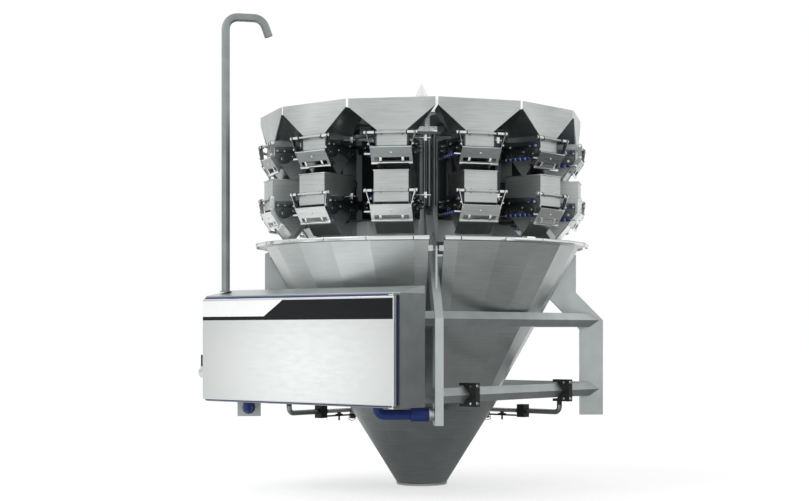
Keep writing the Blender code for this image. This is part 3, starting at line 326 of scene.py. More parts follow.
def moulded(name, dark, light, roughness):
    """A moulded plastic with the grain of its mould."""
    made, tree, shader, place = new_finish(name, 0.0, roughness)
    shader.inputs["IOR"].default_value = 1.5
    grain = add(tree, "ShaderNodeTexNoise", {
        "Vector": place, "Scale": 1 / (MOULD_GRAIN * MM), "Detail": 1.0,
    }).outputs["Fac"]
    tint(tree, shader, clouds(tree, place, PLASTIC_CLOUD), dark, light)
    relief(tree, shader, grain, 0.25, MOULD_DEPTH)
    return made


BLACK_NYLON = moulded("glass_filled_black_nylon", "141516", "222425", 0.45)
BLUE_NYLON = moulded("blue_nylon", "122C78", "1C3E9A", 0.38)
BLUE_SEAL = moulded("blue_silicone_seal", "16296C", "203C88", 0.50)
WHITE_ACETAL = moulded("white_acetal", "D6D8D6", "E6E8E6", 0.32)
CONDUIT_BLUE = moulded("blue_polyamide_conduit", "002468", "002E7C", 0.56)
print("finishes so far", len(bpy.data.materials))

# %% [markdown]
# ## Two finishes on one node
#
# Some nodes are one welded or assembled solid with two looks: a head's bright hoppers and its dark
# drive housing, a support's steel tube and its black clamps, the door's steel and its printed band.
# The material finds the second look by place: a mask is 1 inside a box in the machine's coordinates.
# That needs no extra geometry. On the door it holds as well, because the pattern reads the door's
# own coordinates, which swing with it.

# %% Masks by place
def within(tree, place, low, high):
    """1 inside the box between two corners, 0 outside it."""
    low, high = Vector(low), Vector(high)
    middle, half = (low + high) / 2, (high - low) / 2
    centred = add(tree, "ShaderNodeVectorMath", {0: place, 1: middle}, operation="SUBTRACT")
    shares = add(tree, "ShaderNodeVectorMath", {0: centred.outputs[0], 1: half}, operation="DIVIDE")
    sizes = add(tree, "ShaderNodeVectorMath", {0: shares.outputs[0]}, operation="ABSOLUTE")
    x, y, z = add(tree, "ShaderNodeSeparateXYZ", {0: sizes.outputs[0]}).outputs
    flat = add(tree, "ShaderNodeMath", {0: x, 1: y}, operation="MAXIMUM").outputs[0]
    whole = add(tree, "ShaderNodeMath", {0: flat, 1: z}, operation="MAXIMUM").outputs[0]
    return add(tree, "ShaderNodeMath", {0: whole, 1: 1.0}, operation="LESS_THAN").outputs[0]


def repaint(made, mask, colour, metallic, roughness):
    """Gives a material another colour, metal share and roughness where the mask is 1."""
    tree = made.node_tree
    shader = tree.nodes["Principled BSDF"]
    changes = (
        ("Base Color", "RGBA", 6, 7, 2, linear(colour)),
        ("Metallic", "FLOAT", 2, 3, 0, metallic),
        ("Roughness", "FLOAT", 2, 3, 0, roughness),
    )
    for name, kind, first, second, result, value in changes:
        socket = shader.inputs[name]
        if not socket.is_linked and socket.default_value == value:
            continue
        before = socket.links[0].from_socket if socket.is_linked else socket.default_value
        mixed = add(tree, "ShaderNodeMix", {0: mask, first: before, second: value}, data_type=kind)
        tree.links.new(mixed.outputs[result], socket)


def coordinates(made):
    """The node tree of a finish and the place that its patterns read."""
    tree = made.node_tree
    return tree, next(n for n in tree.nodes if n.type == "TEX_COORD").outputs["Object"]


print("masks ready")

# %% [markdown]
# ## Head, supports, cabinet and frame
#
# The drive housings are painted dark grey: painted shade for the deep, dark interior between the heads.
# The deck's pans keep a steel colour and a lower roughness where their faces look up, where product
# slides, and are painted dark elsewhere: painted shade under and between the pans. The support tubes
# are drawn steel between black nylon clamps. The cabinet carries a black switch grip; its front flange
# is painted bright as a painted highlight, and its roof is painted brighter than its walls as painted
# light. A low bracket inside the frame is painted dark as painted shade. Each could be a piece of its
# own. As they are one solid in the model, a mask paints them: the distance from the machine's axis for
# the housings, the way a face looks for the pans, and boxes for the rest.

# %% Head and deck
HOUSING_EDGE = 0.497
LOOKS_UP = 0.4
HEAD_FINISH = BRUSHED.copy()
HEAD_FINISH.name = "head_sheet_and_housing"
tree, place = coordinates(HEAD_FINISH)
centred = add(tree, "ShaderNodeVectorMath", {0: place, 1: AXIS}, operation="SUBTRACT").outputs[0]
level = add(tree, "ShaderNodeVectorMath", {0: centred, 1: (1, 1, 0)}, operation="MULTIPLY").outputs[0]
radius = add(tree, "ShaderNodeVectorMath", {0: level}, operation="LENGTH").outputs["Value"]
# Painted shade: inside the housing edge the drive housings are painted dark grey for the dark interior
# between the heads.
inside = add(tree, "ShaderNodeMath", {0: radius, 1: HOUSING_EDGE}, operation="LESS_THAN").outputs[0]
repaint(HEAD_FINISH, inside, "4A4E4F", 1.0, 0.45)

tree, place = coordinates(DECK_SHADED_SHEET)
normal = add(tree, "ShaderNodeNewGeometry").outputs["Normal"]
x, y, z = add(tree, "ShaderNodeSeparateXYZ", {0: normal}).outputs
# Faces that look up keep the steel's colour; all other faces keep the painted shade.
upward = add(tree, "ShaderNodeMath", {0: z, 1: LOOKS_UP}, operation="GREATER_THAN").outputs[0]
repaint(DECK_SHADED_SHEET, upward, "B4B9B8", 1.0, 0.34)
print("head and deck", HEAD_FINISH.name, DECK_SHADED_SHEET.name)

# %% Supports
TUBE_FOOT_Z = 0.005
TUBE_TOP_Z = 0.055
BLOCK_AT = 0.36466
BLOCK_HALF = 22 * MM


def support_finish(name, low_side, high_side):
    """Black nylon clamps, and a steel tube where the node lies under them beside the block."""
    made = BLACK_NYLON.copy()
    made.name = name
    tree, place = coordinates(made)
    for low, high in (low_side, high_side):
        repaint(made, within(tree, place, AXIS + Vector(low), AXIS + Vector(high)), "8A8F8F", 1.0, 0.30)
    return made


near, far = BLOCK_AT - BLOCK_HALF, BLOCK_AT + BLOCK_HALF
RIGHT_SUPPORT = support_finish(
    "right_tube_and_clamp",
    ((0, 0, TUBE_FOOT_Z), (near, 1, TUBE_TOP_Z)),
    ((far, 0, TUBE_FOOT_Z), (1, 1, TUBE_TOP_Z)))
LEFT_SUPPORT = support_finish(
    "left_tube_and_clamp",
    ((-1, -near, TUBE_FOOT_Z), (0, 0, TUBE_TOP_Z)),
    ((-1, -1, TUBE_FOOT_Z), (0, -far, TUBE_TOP_Z)))
print("supports", RIGHT_SUPPORT.name, LEFT_SUPPORT.name)

# %% Cabinet and frame
low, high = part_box("cabinet")
WALL_X = AXIS.x - 0.578
END_X = AXIS.x + 0.6
SWITCH_X = WALL_X - 0.4 * MM
FLANGE_Y = low.y + 9 * MM
BARREL_FOOT_Z = 0.1
GRIP_FOOT_Z = 0.2335
GRIP_HEAD_Z = 0.4
ROOF_Z = 0.5465
BRACKET_HALF = 0.525
BRACKET_Z = (0.010, 0.048)
CABINET_FINISH = blasted("blasted_cabinet_sheet", "878D8D", "979C9C", 0.42)
tree, place = coordinates(CABINET_FINISH)
reach, skin = 100 * MM, 1 * MM
for foot, head, colour, metallic, roughness in (
        ((low.x - reach, low.y - reach, GRIP_FOOT_Z), (SWITCH_X, high.y, GRIP_HEAD_Z),
         "17181A", 0.0, 0.45),
        ((low.x - reach, low.y - reach, BARREL_FOOT_Z), (SWITCH_X, high.y, GRIP_FOOT_Z),
         "D2D4D4", 1.0, 0.30),
        # Painted highlight: the front flange is painted brighter and glossier.
        ((WALL_X, low.y - skin, low.z - skin), (END_X, FLANGE_Y, high.z + skin),
         "DCDEDD", 1.0, 0.26),
        # Painted light: the roof is painted brighter than the walls.
        ((WALL_X - skin, FLANGE_Y, ROOF_Z), (END_X, high.y + skin, high.z + skin),
         "BFC4C4", 1.0, 0.36)):
    repaint(CABINET_FINISH, within(tree, place, foot, head), colour, metallic, roughness)

# Painted shade: the low bracket inside the frame, behind the legs, is painted dark.
tree, place = coordinates(LIT_FRAME_SHEET)
bracket = within(tree, place, AXIS + Vector((-BRACKET_HALF, -BRACKET_HALF, BRACKET_Z[0])),
                 AXIS + Vector((BRACKET_HALF, BRACKET_HALF, BRACKET_Z[1])))
repaint(LIT_FRAME_SHEET, bracket, "5E6364", 1.0, 0.40)
print("cabinet and frame", CABINET_FINISH.name, LIT_FRAME_SHEET.name)

# %% [markdown]
# ## The door's band
#
# A foil runs along the door's upper edge: black, with a white field that ends in a slant. It could be
# a thin sheet of its own, but it is flat on the steel, so the door's material paints it, by boxes and
# one slanted line. The band is left bare.

# %% The door's bare band
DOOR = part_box("cabinet_door")
BAND_Z = (0.4400, 0.5255)
FIELD_Z = 0.4560
FIELD_FOOT = -0.175
FIELD_HEAD = -0.061
BAND_MARGIN = 2.5 * MM
FACE_DEPTH = 1.5 * MM

tree, place = coordinates(DOOR_SHEET)
face_low, face_high = DOOR[0].y - FACE_DEPTH, DOOR[0].y + FACE_DEPTH
band_left, band_right = DOOR[0].x + BAND_MARGIN, DOOR[1].x - BAND_MARGIN
band = within(tree, place, (band_left, face_low, BAND_Z[0]), (band_right, face_high, BAND_Z[1]))
repaint(DOOR_SHEET, band, "27292B", 1.0, 0.28)
field = within(tree, place, (band_left, face_low, FIELD_Z), (band_right, face_high, BAND_Z[1]))
x, y, z = add(tree, "ShaderNodeSeparateXYZ", {0: place}).outputs
slope = (FIELD_HEAD - FIELD_FOOT) / (BAND_Z[1] - FIELD_Z)
rise = add(tree, "ShaderNodeMath", {0: z, 1: FIELD_Z}, operation="SUBTRACT").outputs[0]
run = add(tree, "ShaderNodeMath", {0: rise, 1: slope}, operation="MULTIPLY").outputs[0]
slanted = add(tree, "ShaderNodeMath", {0: x, 1: run}, operation="SUBTRACT").outputs[0]
end = AXIS.x + FIELD_FOOT
left_of = add(tree, "ShaderNodeMath", {0: slanted, 1: end}, operation="LESS_THAN").outputs[0]
white = add(tree, "ShaderNodeMath", {0: field, 1: left_of}, operation="MULTIPLY").outputs[0]
repaint(DOOR_SHEET, white, "FBFCFC", 1.0, 0.40)
print("door band", BAND_Z, "white field to", FIELD_HEAD, FIELD_FOOT)

# %% [markdown]
# ## Finishes on the nodes
#
# Each node of the solid model keeps its mesh and gets its finish in its material slot. A table from
# the start of a node's name to a finish does all 54; where two starts fit, the longer stands first.

# %% Finishes on the frame's nodes
NODE_FINISHES = {
    "head_": HEAD_FINISH,
    "pool_gate_": SHADED_POOL_GATE_SHEET,
    "weigh_gate_": LIT_WEIGH_GATE_SHEET,
    "central_body": LIT_FRAME_SHEET,
    "feeder_deck": DECK_SHADED_SHEET,
    "dispersion_cone": LIT_CONE_SHEET,
    "frame": LIT_FRAME_SHEET,
    "chute_front": LIT_CHUTE_SHEET,
    "chute_": CHUTE_SHEET,
    "discharge_funnel": FUNNEL_SHEET,
    "funnel_support_right": RIGHT_SUPPORT,
    "funnel_support_left": LEFT_SUPPORT,
    "beam_clamp_": BLACK_NYLON,
    "cabinet_door": DOOR_SHEET,
    "cabinet": CABINET_FINISH,
    "mast": BLASTED,
    "conduit_": CONDUIT_BLUE,
}
for name, node in NODES.items():
    start = next(key for key in NODE_FINISHES if name.startswith(key))
    node.data.materials.clear()
    node.data.materials.append(NODE_FINISHES[start])
print("finished nodes", len(NODES))

# %% [markdown]
# ## Helpers for pieces
#
# Small hardware is modelled once, in the place where it sits on one head or one gate, and then copied
# round the machine. A place is a matrix: its local Z is a bolt's or a roller's own axis. Every piece
# ends as one mesh in the frame's coordinates, so its object stays at the origin. Copies could be
# objects of their own, but one mesh of a kind keeps the machine light and rides on its body at once.

# %% Places and shapes
STATIONS = [Matrix.Translation(AXIS) @ Matrix.Rotation(k * math.tau / HEADS, 4, "Z")
            for k in range(HEADS)]
HERE = Matrix.Identity(4)
SHARP_ANGLE = math.radians(35)
BROKEN_EDGE = 0.8 * MM

# A bolt's sizes as shares of its width across flats
HEAD_HEIGHT = 0.62
HEAD_FOOT_R = 0.577
HEAD_TOP_R = 0.54
WASHER_R = 0.72
WASHER_THICKNESS = 0.12


def facing(point, direction):
    """A place at a point whose local Z looks along a direction."""
    return Matrix.Translation(point) @ Vector(direction).to_track_quat("Z", "Y").to_matrix().to_4x4()


def rod(bm, start, end, radius, sides=12):
    """A round rod between two points."""
    start, end = Vector(start), Vector(end)
    middle = facing((start + end) / 2, end - start)
    bmesh.ops.create_cone(bm, cap_ends=True, segments=sides, radius1=radius, radius2=radius,
                          depth=(end - start).length, matrix=middle)


def slab(bm, low, high, edge, place=HERE):
    """A flat-sided bar between two corners, with its edges rounded."""
    low, high = Vector(low), Vector(high)
    size = Matrix.Diagonal((*(high - low), 1))
    made = bmesh.ops.create_cube(bm, size=1, matrix=place @ Matrix.Translation((low + high) / 2) @ size)
    edges = list({e for v in made["verts"] for e in v.link_edges})
    bmesh.ops.bevel(bm, geom=edges, offset=edge, segments=2, profile=0.5, affect="EDGES", material=-1)


def turning(bm, profile, place, sides=16):
    """A turned part: points (radius, height) spun round the place's own axis, its poles closed."""
    others = set(bm.verts)
    verts = [bm.verts.new(place @ Vector((r, 0, h))) for r, h in profile]
    edges = [bm.edges.new(pair) for pair in zip(verts, verts[1:])]
    axis = place.to_3x3() @ Vector((0, 0, 1))
    bmesh.ops.spin(bm, geom=verts + edges, cent=place.translation, axis=axis, angle=math.tau,
                   steps=sides, use_merge=True, use_duplicate=False)
    spun = [vert for vert in bm.verts if vert not in others]
    bmesh.ops.remove_doubles(bm, verts=spun, dist=MM / 1000)


def turned_ring(bm, place, radius, length):
    """A turned ring with broken edges, from the place along its axis."""
    turning(bm, [(0, 0), (radius - BROKEN_EDGE, 0), (radius, BROKEN_EDGE),
                 (radius, length - BROKEN_EDGE), (radius - BROKEN_EDGE, length), (0, length)], place)


def bolt(bm, place, across):
    """A hexagon bolt head with its washer, standing on the surface at the place."""
    height = HEAD_HEIGHT * across
    thickness = WASHER_THICKNESS * across
    washer = Matrix.Translation((0, 0, thickness / 2))
    head = Matrix.Translation((0, 0, thickness + height / 2))
    bmesh.ops.create_cone(bm, cap_ends=True, segments=16, radius1=WASHER_R * across,
                          radius2=WASHER_R * across, depth=thickness, matrix=place @ washer)
    bmesh.ops.create_cone(bm, cap_ends=True, segments=6, radius1=HEAD_FOOT_R * across,
                          radius2=HEAD_TOP_R * across, depth=height, matrix=place @ head)


def repeated(bm, places):
    """Copies what was modelled so far to each place, in one mesh."""
    pattern = bpy.data.meshes.new("pattern")
    bm.to_mesh(pattern)
    bm.clear()
    for place in places:
        copy = pattern.copy()
        copy.transform(place)
        bm.from_mesh(copy)
        bpy.data.meshes.remove(copy)
    bpy.data.meshes.remove(pattern)


def mesh_from(name, bm):
    """A mesh of what was modelled."""
    mesh = bpy.data.meshes.new(name)
    bm.to_mesh(mesh)
    bm.free()
    return mesh


def piece(name, bm, finish, body="machine"):
    """A finished piece: one mesh in the frame's coordinates, smooth but for its sharp edges."""
    bm.normal_update()
    bmesh.ops.recalc_face_normals(bm, faces=bm.faces)
    for face in bm.faces:
        face.smooth = True
    for edge in bm.edges:
        edge.smooth = edge.calc_face_angle(0) < SHARP_ANGLE
    mesh = mesh_from(name, bm)
    mesh.materials.append(finish)
    made = placed(name, mesh)
    if body:
        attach(made, body)
    return made


def faces_of(objects):
    """How many faces some pieces have together."""
    return sum(len(made.data.polygons) for made in objects)


print("stations", len(STATIONS))

# %% [markdown]
# ## Gate trim
#
# Under each hopper hangs a gate, the part of a weigher that does its real work. Its front plate is
# folded over a round lip at the bottom, two tabs cross its slot, and a screw holds the plate in the
# middle. The plate's own axes make this simple: X looks out of the plate and -Z runs down it, so
# every fold and tab is a plain bar there, rounded as a press brake rounds it.

# %% Gate trim
ROD_R = 0.745
PLATE_TOP = Vector((0.002, 0, -0.061))
PLATE_LEAN = math.radians(31.2)
PLATE_FACE = 1.3 * MM
GATE_HALF = 89.5 * MM
LIP_REACH = 6 * MM
LIP_Z = (-79 * MM, -68 * MM)
TAB_Z = (-70 * MM, -45 * MM)
TAB_Y = 48 * MM
TAB_HALF = 5.5 * MM
SCREW_Z = -25.7 * MM
LINK_BOLT_Y = 93 * MM
LINK_BOLT_Z = -50 * MM


def gate_places():
    """Each gate's node, its row and its place: origin on its rod, X outward, Z up."""
    for joint in frame["joints"]:
        if "gate" in joint["child"]:
            pivot = Vector(joint["pos_m"])
            turn = math.atan2(pivot.y - AXIS.y, pivot.x - AXIS.x)
            yield joint["child"], Matrix.Translation(pivot) @ Matrix.Rotation(turn, 4, "Z")


GATES = dict(gate_places())
PLATE = Matrix.Translation(PLATE_TOP) @ Matrix.Rotation(PLATE_LEAN, 4, "Y")


def gate_trim(place):
    """The folded lip, tabs, top fold, screw and link bolts of one gate."""
    bm = bmesh.new()
    slab(bm, (PLATE_FACE, -GATE_HALF, LIP_Z[0]), (LIP_REACH, GATE_HALF, LIP_Z[1]), 2 * MM, PLATE)
    slab(bm, (-1 * MM, -GATE_HALF, -1.5 * MM), (3 * MM, GATE_HALF, 2.5 * MM), 1 * MM, PLATE)
    for side in (-1, 1):
        middle = side * TAB_Y
        slab(bm, (PLATE_FACE, middle - TAB_HALF, TAB_Z[0]),
             (LIP_REACH, middle + TAB_HALF, TAB_Z[1]), 1.5 * MM, PLATE)
        bolt(bm, facing((1 * MM, side * LINK_BOLT_Y, LINK_BOLT_Z), (0, side, 0.28)), 9 * MM)
    screw = PLATE @ facing((PLATE_FACE, 0, SCREW_Z), (1, 0, 0))
    turning(bm, [(0, 0), (5 * MM, 0), (4.6 * MM, 1.6 * MM), (3 * MM, 2.8 * MM), (0, 3.2 * MM)], screw)
    bm.transform(place)
    return bm


trims = []
for name, place in GATES.items():
    label = "gate_trim_" + name.replace("_gate", "")
    trims.append(piece(label, gate_trim(place), POLISHED, name))
print("gate trims", len(trims), "faces", faces_of(trims))

# %% [markdown]
# ## Return springs
#
# A spring closes each gate again. It runs in five blue nylon beads, which keep crumbs out of the
# coils, with white washers between them and a steel rod through all. The chain could be five spheres,
# but the beads have thin necks, so it is one profile spun round its own axis. It is built where the
# gate rests, in the frame's coordinates, and rides on no body, so it stays put when the gate swings.

# %% Return springs
SPRING_Y = -106 * MM
SPRING_Z = -88 * MM
SPRING_FRONT = -18 * MM
SPRING_REAR = -235 * MM
BEADS = 5
BEAD_PITCH = 26 * MM
BEAD_START = SPRING_FRONT - 26 * MM
BEAD_R = 8 * MM
SHOULDER_R = 6.8 * MM
NECK_R = 3.2 * MM
BLEND_X = (-0.045, -0.225)


def bead_chain(place):
    """Five beads with their thin ends, along the gate's side."""
    start = place @ facing((BEAD_START, SPRING_Y, SPRING_Z), (-1, 0, 0))
    profile = [(0, 0)]
    for k in range(BEADS):
        foot = k * BEAD_PITCH
        profile += [(NECK_R, foot), (SHOULDER_R, foot + 3 * MM), (BEAD_R, foot + 10 * MM),
                    (SHOULDER_R, foot + 17 * MM), (NECK_R, foot + 20 * MM)]
    profile.append((0, profile[-1][1]))
    bm = bmesh.new()
    turning(bm, profile, start, 12)
    return bm


def bead_washers(place):
    """White washers between the beads."""
    bm = bmesh.new()
    for k in range(BEADS):
        x = BEAD_START - (k + 1) * BEAD_PITCH + 1 * MM
        turned_ring(bm, facing((x, SPRING_Y, SPRING_Z), (1, 0, 0)), 5.5 * MM, 4.5 * MM)
    bm.transform(place)
    return bm


def spring_rods(place):
    """The steel rod through the chain, with an eye at the gate's side."""
    bm = bmesh.new()
    rod(bm, (SPRING_FRONT, SPRING_Y, SPRING_Z), (SPRING_REAR, SPRING_Y, SPRING_Z), 2.4 * MM, 8)
    turned_ring(bm, facing((SPRING_FRONT, -GATE_HALF, SPRING_Z), (0, -1, 0)), 4.5 * MM, 28 * MM)
    bm.transform(place)
    return bm


springs = []
for name, place in GATES.items():
    reach = [place @ Vector((x, SPRING_Y, SPRING_Z)) for x in BLEND_X]
    kind = name.replace("_gate", "")
    for label, bm, finish, slot in (
            ("spring_beads_", bead_chain(place), BLUE_NYLON, "blue_nylon"),
            ("spring_washers_", bead_washers(place), WHITE_ACETAL, "blue_nylon"),
            ("spring_rod_", spring_rods(place), POLISHED, "polished_stainless")):
        made = piece(label + kind, bm, finish, None)
        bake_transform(made)
        springs.append(made)
print("springs", len(springs), "faces", faces_of(springs))

# %% [markdown]
# ## Hinge rods' sleeves and collars
#
# The gates swing on polished rods. Between hopper and link each rod carries a thicker sleeve, a black
# ring seals it at the hopper, and a turned collar holds the link's eye at the end. Plain cylinders
# would have knife edges that catch no light, so all three are spun from a profile with broken edges.

# %% Sleeves and collars
ROWS = ((1.228, 65 * MM), (0.984, 74.5 * MM))  # the rods' height and half the hopper's width
SLEEVE_END = 100.5 * MM
COLLAR_Y = 108.5 * MM

bright, dark = bmesh.new(), bmesh.new()
for rod_z, half in ROWS:
    for side in (-1, 1):
        along = (0, side, 0)
        turned_ring(dark, facing((ROD_R, side * (half + 1 * MM), rod_z), along), 8.5 * MM, 4 * MM)
        sleeve_y = half + 5.5 * MM
        length = SLEEVE_END - sleeve_y
        turned_ring(bright, facing((ROD_R, side * sleeve_y, rod_z), along), 7 * MM, length)
        turned_ring(bright, facing((ROD_R, side * COLLAR_Y, rod_z), along), 8 * MM, 7 * MM)
repeated(bright, STATIONS)
repeated(dark, STATIONS)
rings = [piece("rod_sleeves", bright, POLISHED),
         piece("rod_seals", dark, BLACK_NYLON)]
print("rod rings", faces_of(rings))

# %% [markdown]
# ## Opening levers
#
# A motor in each drive housing pushes two levers forward beside each hopper. A white roller at a
# lever's end lifts the gate's link, and a blue bush guides the lever, which is a flat bar of dark
# steel. A latch plate on a short rod holds the hopper, and a bracket carries the spring's rear end.
# The levers could come from an outline, as the castings below do, but they are straight bars, so
# rounded slabs give their shape with fewer faces. Rollers and bushes are turned.

# %% Opening levers
DRIVE_FRONT = 0.495
LEVER_END = 0.722
LEVER_DROP = 31 * MM
LEVER_HALF = 7 * MM
LEVER_GAP = 8 * MM
LEVER_THICKNESS = 5 * MM
ROLLER_X = 0.714
BUSH_X = 0.702
HOUSING_BOLTS = ((0.475, 30 * MM), (0.475, 50 * MM))
LEVER_BOLTS = ((0.575, 7 * MM), (0.680, 6 * MM))
LATCH_R = 0.620
LATCH_DROP = 11 * MM
LATCH_Y = (0.119, 0.133)
LATCH_ROD_Y = 0.150

lever_steel, rollers, bushes, screws = bmesh.new(), bmesh.new(), bmesh.new(), bmesh.new()
for rod_z, half in ROWS:
    lever_z = rod_z - LEVER_DROP
    near, far = half + LEVER_GAP, half + LEVER_GAP + LEVER_THICKNESS
    for side in (-1, 1):
        low_y, high_y = sorted((side * near, side * far))
        outward = (0, side, 0)
        slab(lever_steel, (DRIVE_FRONT - 8 * MM, low_y, lever_z - LEVER_HALF),
             (LEVER_END, high_y, lever_z + LEVER_HALF), 2 * MM)
        turned_ring(rollers, facing((ROLLER_X, side * far, lever_z), outward), 5 * MM, 6 * MM)
        for x, drop in HOUSING_BOLTS:
            bolt(screws, facing((x, side * far, rod_z - drop), outward), 9 * MM)
        for x, across in LEVER_BOLTS:
            bolt(screws, facing((x, side * far, lever_z), outward), across)
    slab(lever_steel, (DRIVE_FRONT - 40 * MM, -far, rod_z - 60 * MM),
         (DRIVE_FRONT - 6 * MM, far, rod_z - 20 * MM), 5 * MM)
    turned_ring(bushes, facing((BUSH_X, -far, lever_z + 8 * MM), (0, -1, 0)), 7.5 * MM, 6 * MM)
    latch_z = rod_z - LATCH_DROP
    rod(screws, (LATCH_R, far - 1 * MM, latch_z), (LATCH_R, LATCH_ROD_Y, latch_z), 2.5 * MM, 8)
    slab(lever_steel, (LATCH_R - 5 * MM, near, lever_z),
         (LATCH_R + 5 * MM, far, latch_z + 6 * MM), 1.5 * MM)
    slab(screws, (LATCH_R - 2 * MM, LATCH_Y[0], latch_z - 13 * MM),
         (LATCH_R + 2 * MM, LATCH_Y[1], latch_z + 13 * MM), 1 * MM)
    rear = SPRING_REAR + ROD_R
    slab(lever_steel, (rear - 6 * MM, SPRING_Y - 5 * MM, rod_z + SPRING_Z - 6 * MM),
         (rear + 4 * MM, -half + 4 * MM, rod_z + SPRING_Z + 6 * MM), 1.5 * MM)
for bm in (lever_steel, rollers, bushes, screws):
    repeated(bm, STATIONS)
levers = [piece("opening_levers", lever_steel, DARK_STEEL),
          piece("lever_rollers", rollers, WHITE_ACETAL),
          piece("lever_bushes", bushes, BLUE_NYLON),
          piece("lever_bolts", screws, POLISHED)]
print("levers", faces_of(levers))

# %% [markdown]
# ## Lever castings
#
# The levers run on a cast carrier at each hopper's side. It is a flat grey casting with a curved lower
# edge, ribs round its holes, and two bright bolts. Slabs can't give the curved edge, so its outline is
# a few points turned into a face, which is extruded to the casting's thickness and has its outer
# edges rounded. The ribs are spun.

# %% Lever castings
CASTING_OUTLINE = (
    (0.530, -0.006), (0.722, -0.012), (0.722, -0.052), (0.712, -0.078), (0.690, -0.090), (0.664, -0.084),
    (0.646, -0.068), (0.618, -0.064), (0.596, -0.078), (0.574, -0.088), (0.552, -0.084), (0.530, -0.070),
)
CASTING_THICKNESS = 5 * MM
CASTING_GAP = 2 * MM
RIB_HEIGHT = 3 * MM
RIBS = ((0.690, -0.064, 17 * MM), (0.566, -0.066, 13 * MM))
CASTING_BOLTS = ((0.690, -0.064), (0.640, -0.054))


def casting(bm, rod_z, y, side):
    """The carrier's plate on one side of a hopper, standing off by its thickness."""
    corners = [bm.verts.new((x, y, rod_z + z)) for x, z in CASTING_OUTLINE]
    face = bm.faces.new(corners)
    made = bmesh.ops.extrude_face_region(bm, geom=[face])["geom"]
    moved = [part for part in made if isinstance(part, bmesh.types.BMVert)]
    bmesh.ops.translate(bm, verts=moved, vec=(0, side * CASTING_THICKNESS, 0))
    rim = [e for e in made if isinstance(e, bmesh.types.BMEdge)]
    bmesh.ops.bevel(bm, geom=rim, offset=1.2 * MM, segments=2, profile=0.5, affect="EDGES", material=-1)


castings, casting_rings, casting_bolts = bmesh.new(), bmesh.new(), bmesh.new()
for rod_z, half in ROWS:
    for side in (-1, 1):
        outward = (0, side, 0)
        face_y = side * (half + CASTING_GAP + CASTING_THICKNESS)
        casting(castings, rod_z, side * (half + CASTING_GAP), side)
        for x, z, radius in RIBS:
            turning(casting_rings, [(radius - 5 * MM, 0), (radius - 4 * MM, RIB_HEIGHT),
                                    (radius - 1 * MM, RIB_HEIGHT), (radius, 0), (radius - 5 * MM, 0)],
                    facing((x, face_y, rod_z + z), outward), 20)
        for x, z in CASTING_BOLTS:
            bolt(casting_bolts, facing((x, face_y, rod_z + z), outward), 7 * MM)
for bm in (castings, casting_rings, casting_bolts):
    repeated(bm, STATIONS)
carriers = [piece("lever_castings", castings, CASTING_GREY),
            piece("casting_ribs", casting_rings, CASTING_GREY),
            piece("casting_bolts", casting_bolts, POLISHED)]
print("castings", faces_of(carriers))

# %% [markdown]
# ## Body posts and hopper rims
#
# Between the drive housings upright round posts close the central body's corners. Each weigh hopper
# has a folded rim at its mouth, which stiffens the sheet and keeps its edge from cutting a hand. The
# posts are rods, and the rim is three thin slabs, because a fold this small shows only as a bright line.

# %% Body posts and hopper rims
POST_R = 0.392
POST_Z = (0.945, 1.262)
POSTS = ((0, 11 * MM), (-22 * MM, 7 * MM), (22 * MM, 7 * MM))
RIM_Z = (1.0675, 1.0725)
RIM_FRONT = (0.7345, 0.7385)
RIM_REAR = 0.545
RIM_Y = (74 * MM, 77.5 * MM)

posts = bmesh.new()
corner = Matrix.Rotation(math.radians(15), 4, "Z")
for y, radius in POSTS:
    foot, head = (corner @ Vector((POST_R, y, z)) for z in POST_Z)
    rod(posts, foot, head, radius, 14)
repeated(posts, STATIONS)
rims = bmesh.new()
slab(rims, (RIM_FRONT[0], -75.5 * MM, RIM_Z[0]), (RIM_FRONT[1], 75.5 * MM, RIM_Z[1]), 1.2 * MM)
for side in (-1, 1):
    low_y, high_y = sorted((side * RIM_Y[0], side * RIM_Y[1]))
    slab(rims, (RIM_REAR, low_y, RIM_Z[0]), (RIM_FRONT[1], high_y, RIM_Z[1]), 1.2 * MM)
repeated(rims, STATIONS)
body_trim = [piece("body_posts", posts, BLASTED),
             piece("hopper_rims", rims, BRUSHED)]
print("posts and rims", faces_of(body_trim))

# %% [markdown]
# ## Chute rims
#
# Each chute is folded from flat facets that meet in fine seams. A bright turned-down edge runs under
# the lip, cut at every seam, and that row of short bright strips is what one sees first of a chute.
# Each strip is a slab between two facet corners. The funnel's outlet ends in a ground bead, which is
# one closed profile spun round the machine's axis.

# %% Chute rims and outlet rim
LIP_R = 0.775
FACET = math.radians(15)
STRIP_Z = (0.7755, 0.7885)
STRIP_THICKNESS = 2 * MM
SEAM = 2.2 * MM
END_STRIP = 34 * MM
OUTLET_R = 0.1095

edge_strips = bmesh.new()
apothem = LIP_R * math.cos(FACET / 2)
half_width = LIP_R * math.sin(FACET / 2) - SEAM
for chute in range(4):
    for facet in (-2, -1, 0, 1, 2):
        place = Matrix.Translation(AXIS) @ Matrix.Rotation(chute * math.pi / 2 + facet * FACET, 4, "Z")
        slab(edge_strips, (apothem - STRIP_THICKNESS, -half_width, STRIP_Z[0]),
             (apothem, half_width, STRIP_Z[1]), 0.6 * MM, place)
    for side in (-1, 1):
        turn = chute * math.pi / 2 + side * 3 * FACET
        place = Matrix.Translation(AXIS) @ Matrix.Rotation(turn, 4, "Z")
        low_y, high_y = sorted((-side * END_STRIP, -side * half_width))
        slab(edge_strips, (apothem - STRIP_THICKNESS, low_y, STRIP_Z[0]),
             (apothem, high_y, STRIP_Z[1]), 0.6 * MM, place)
funnel_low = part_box("discharge_funnel")[0].z
outlet = bmesh.new()
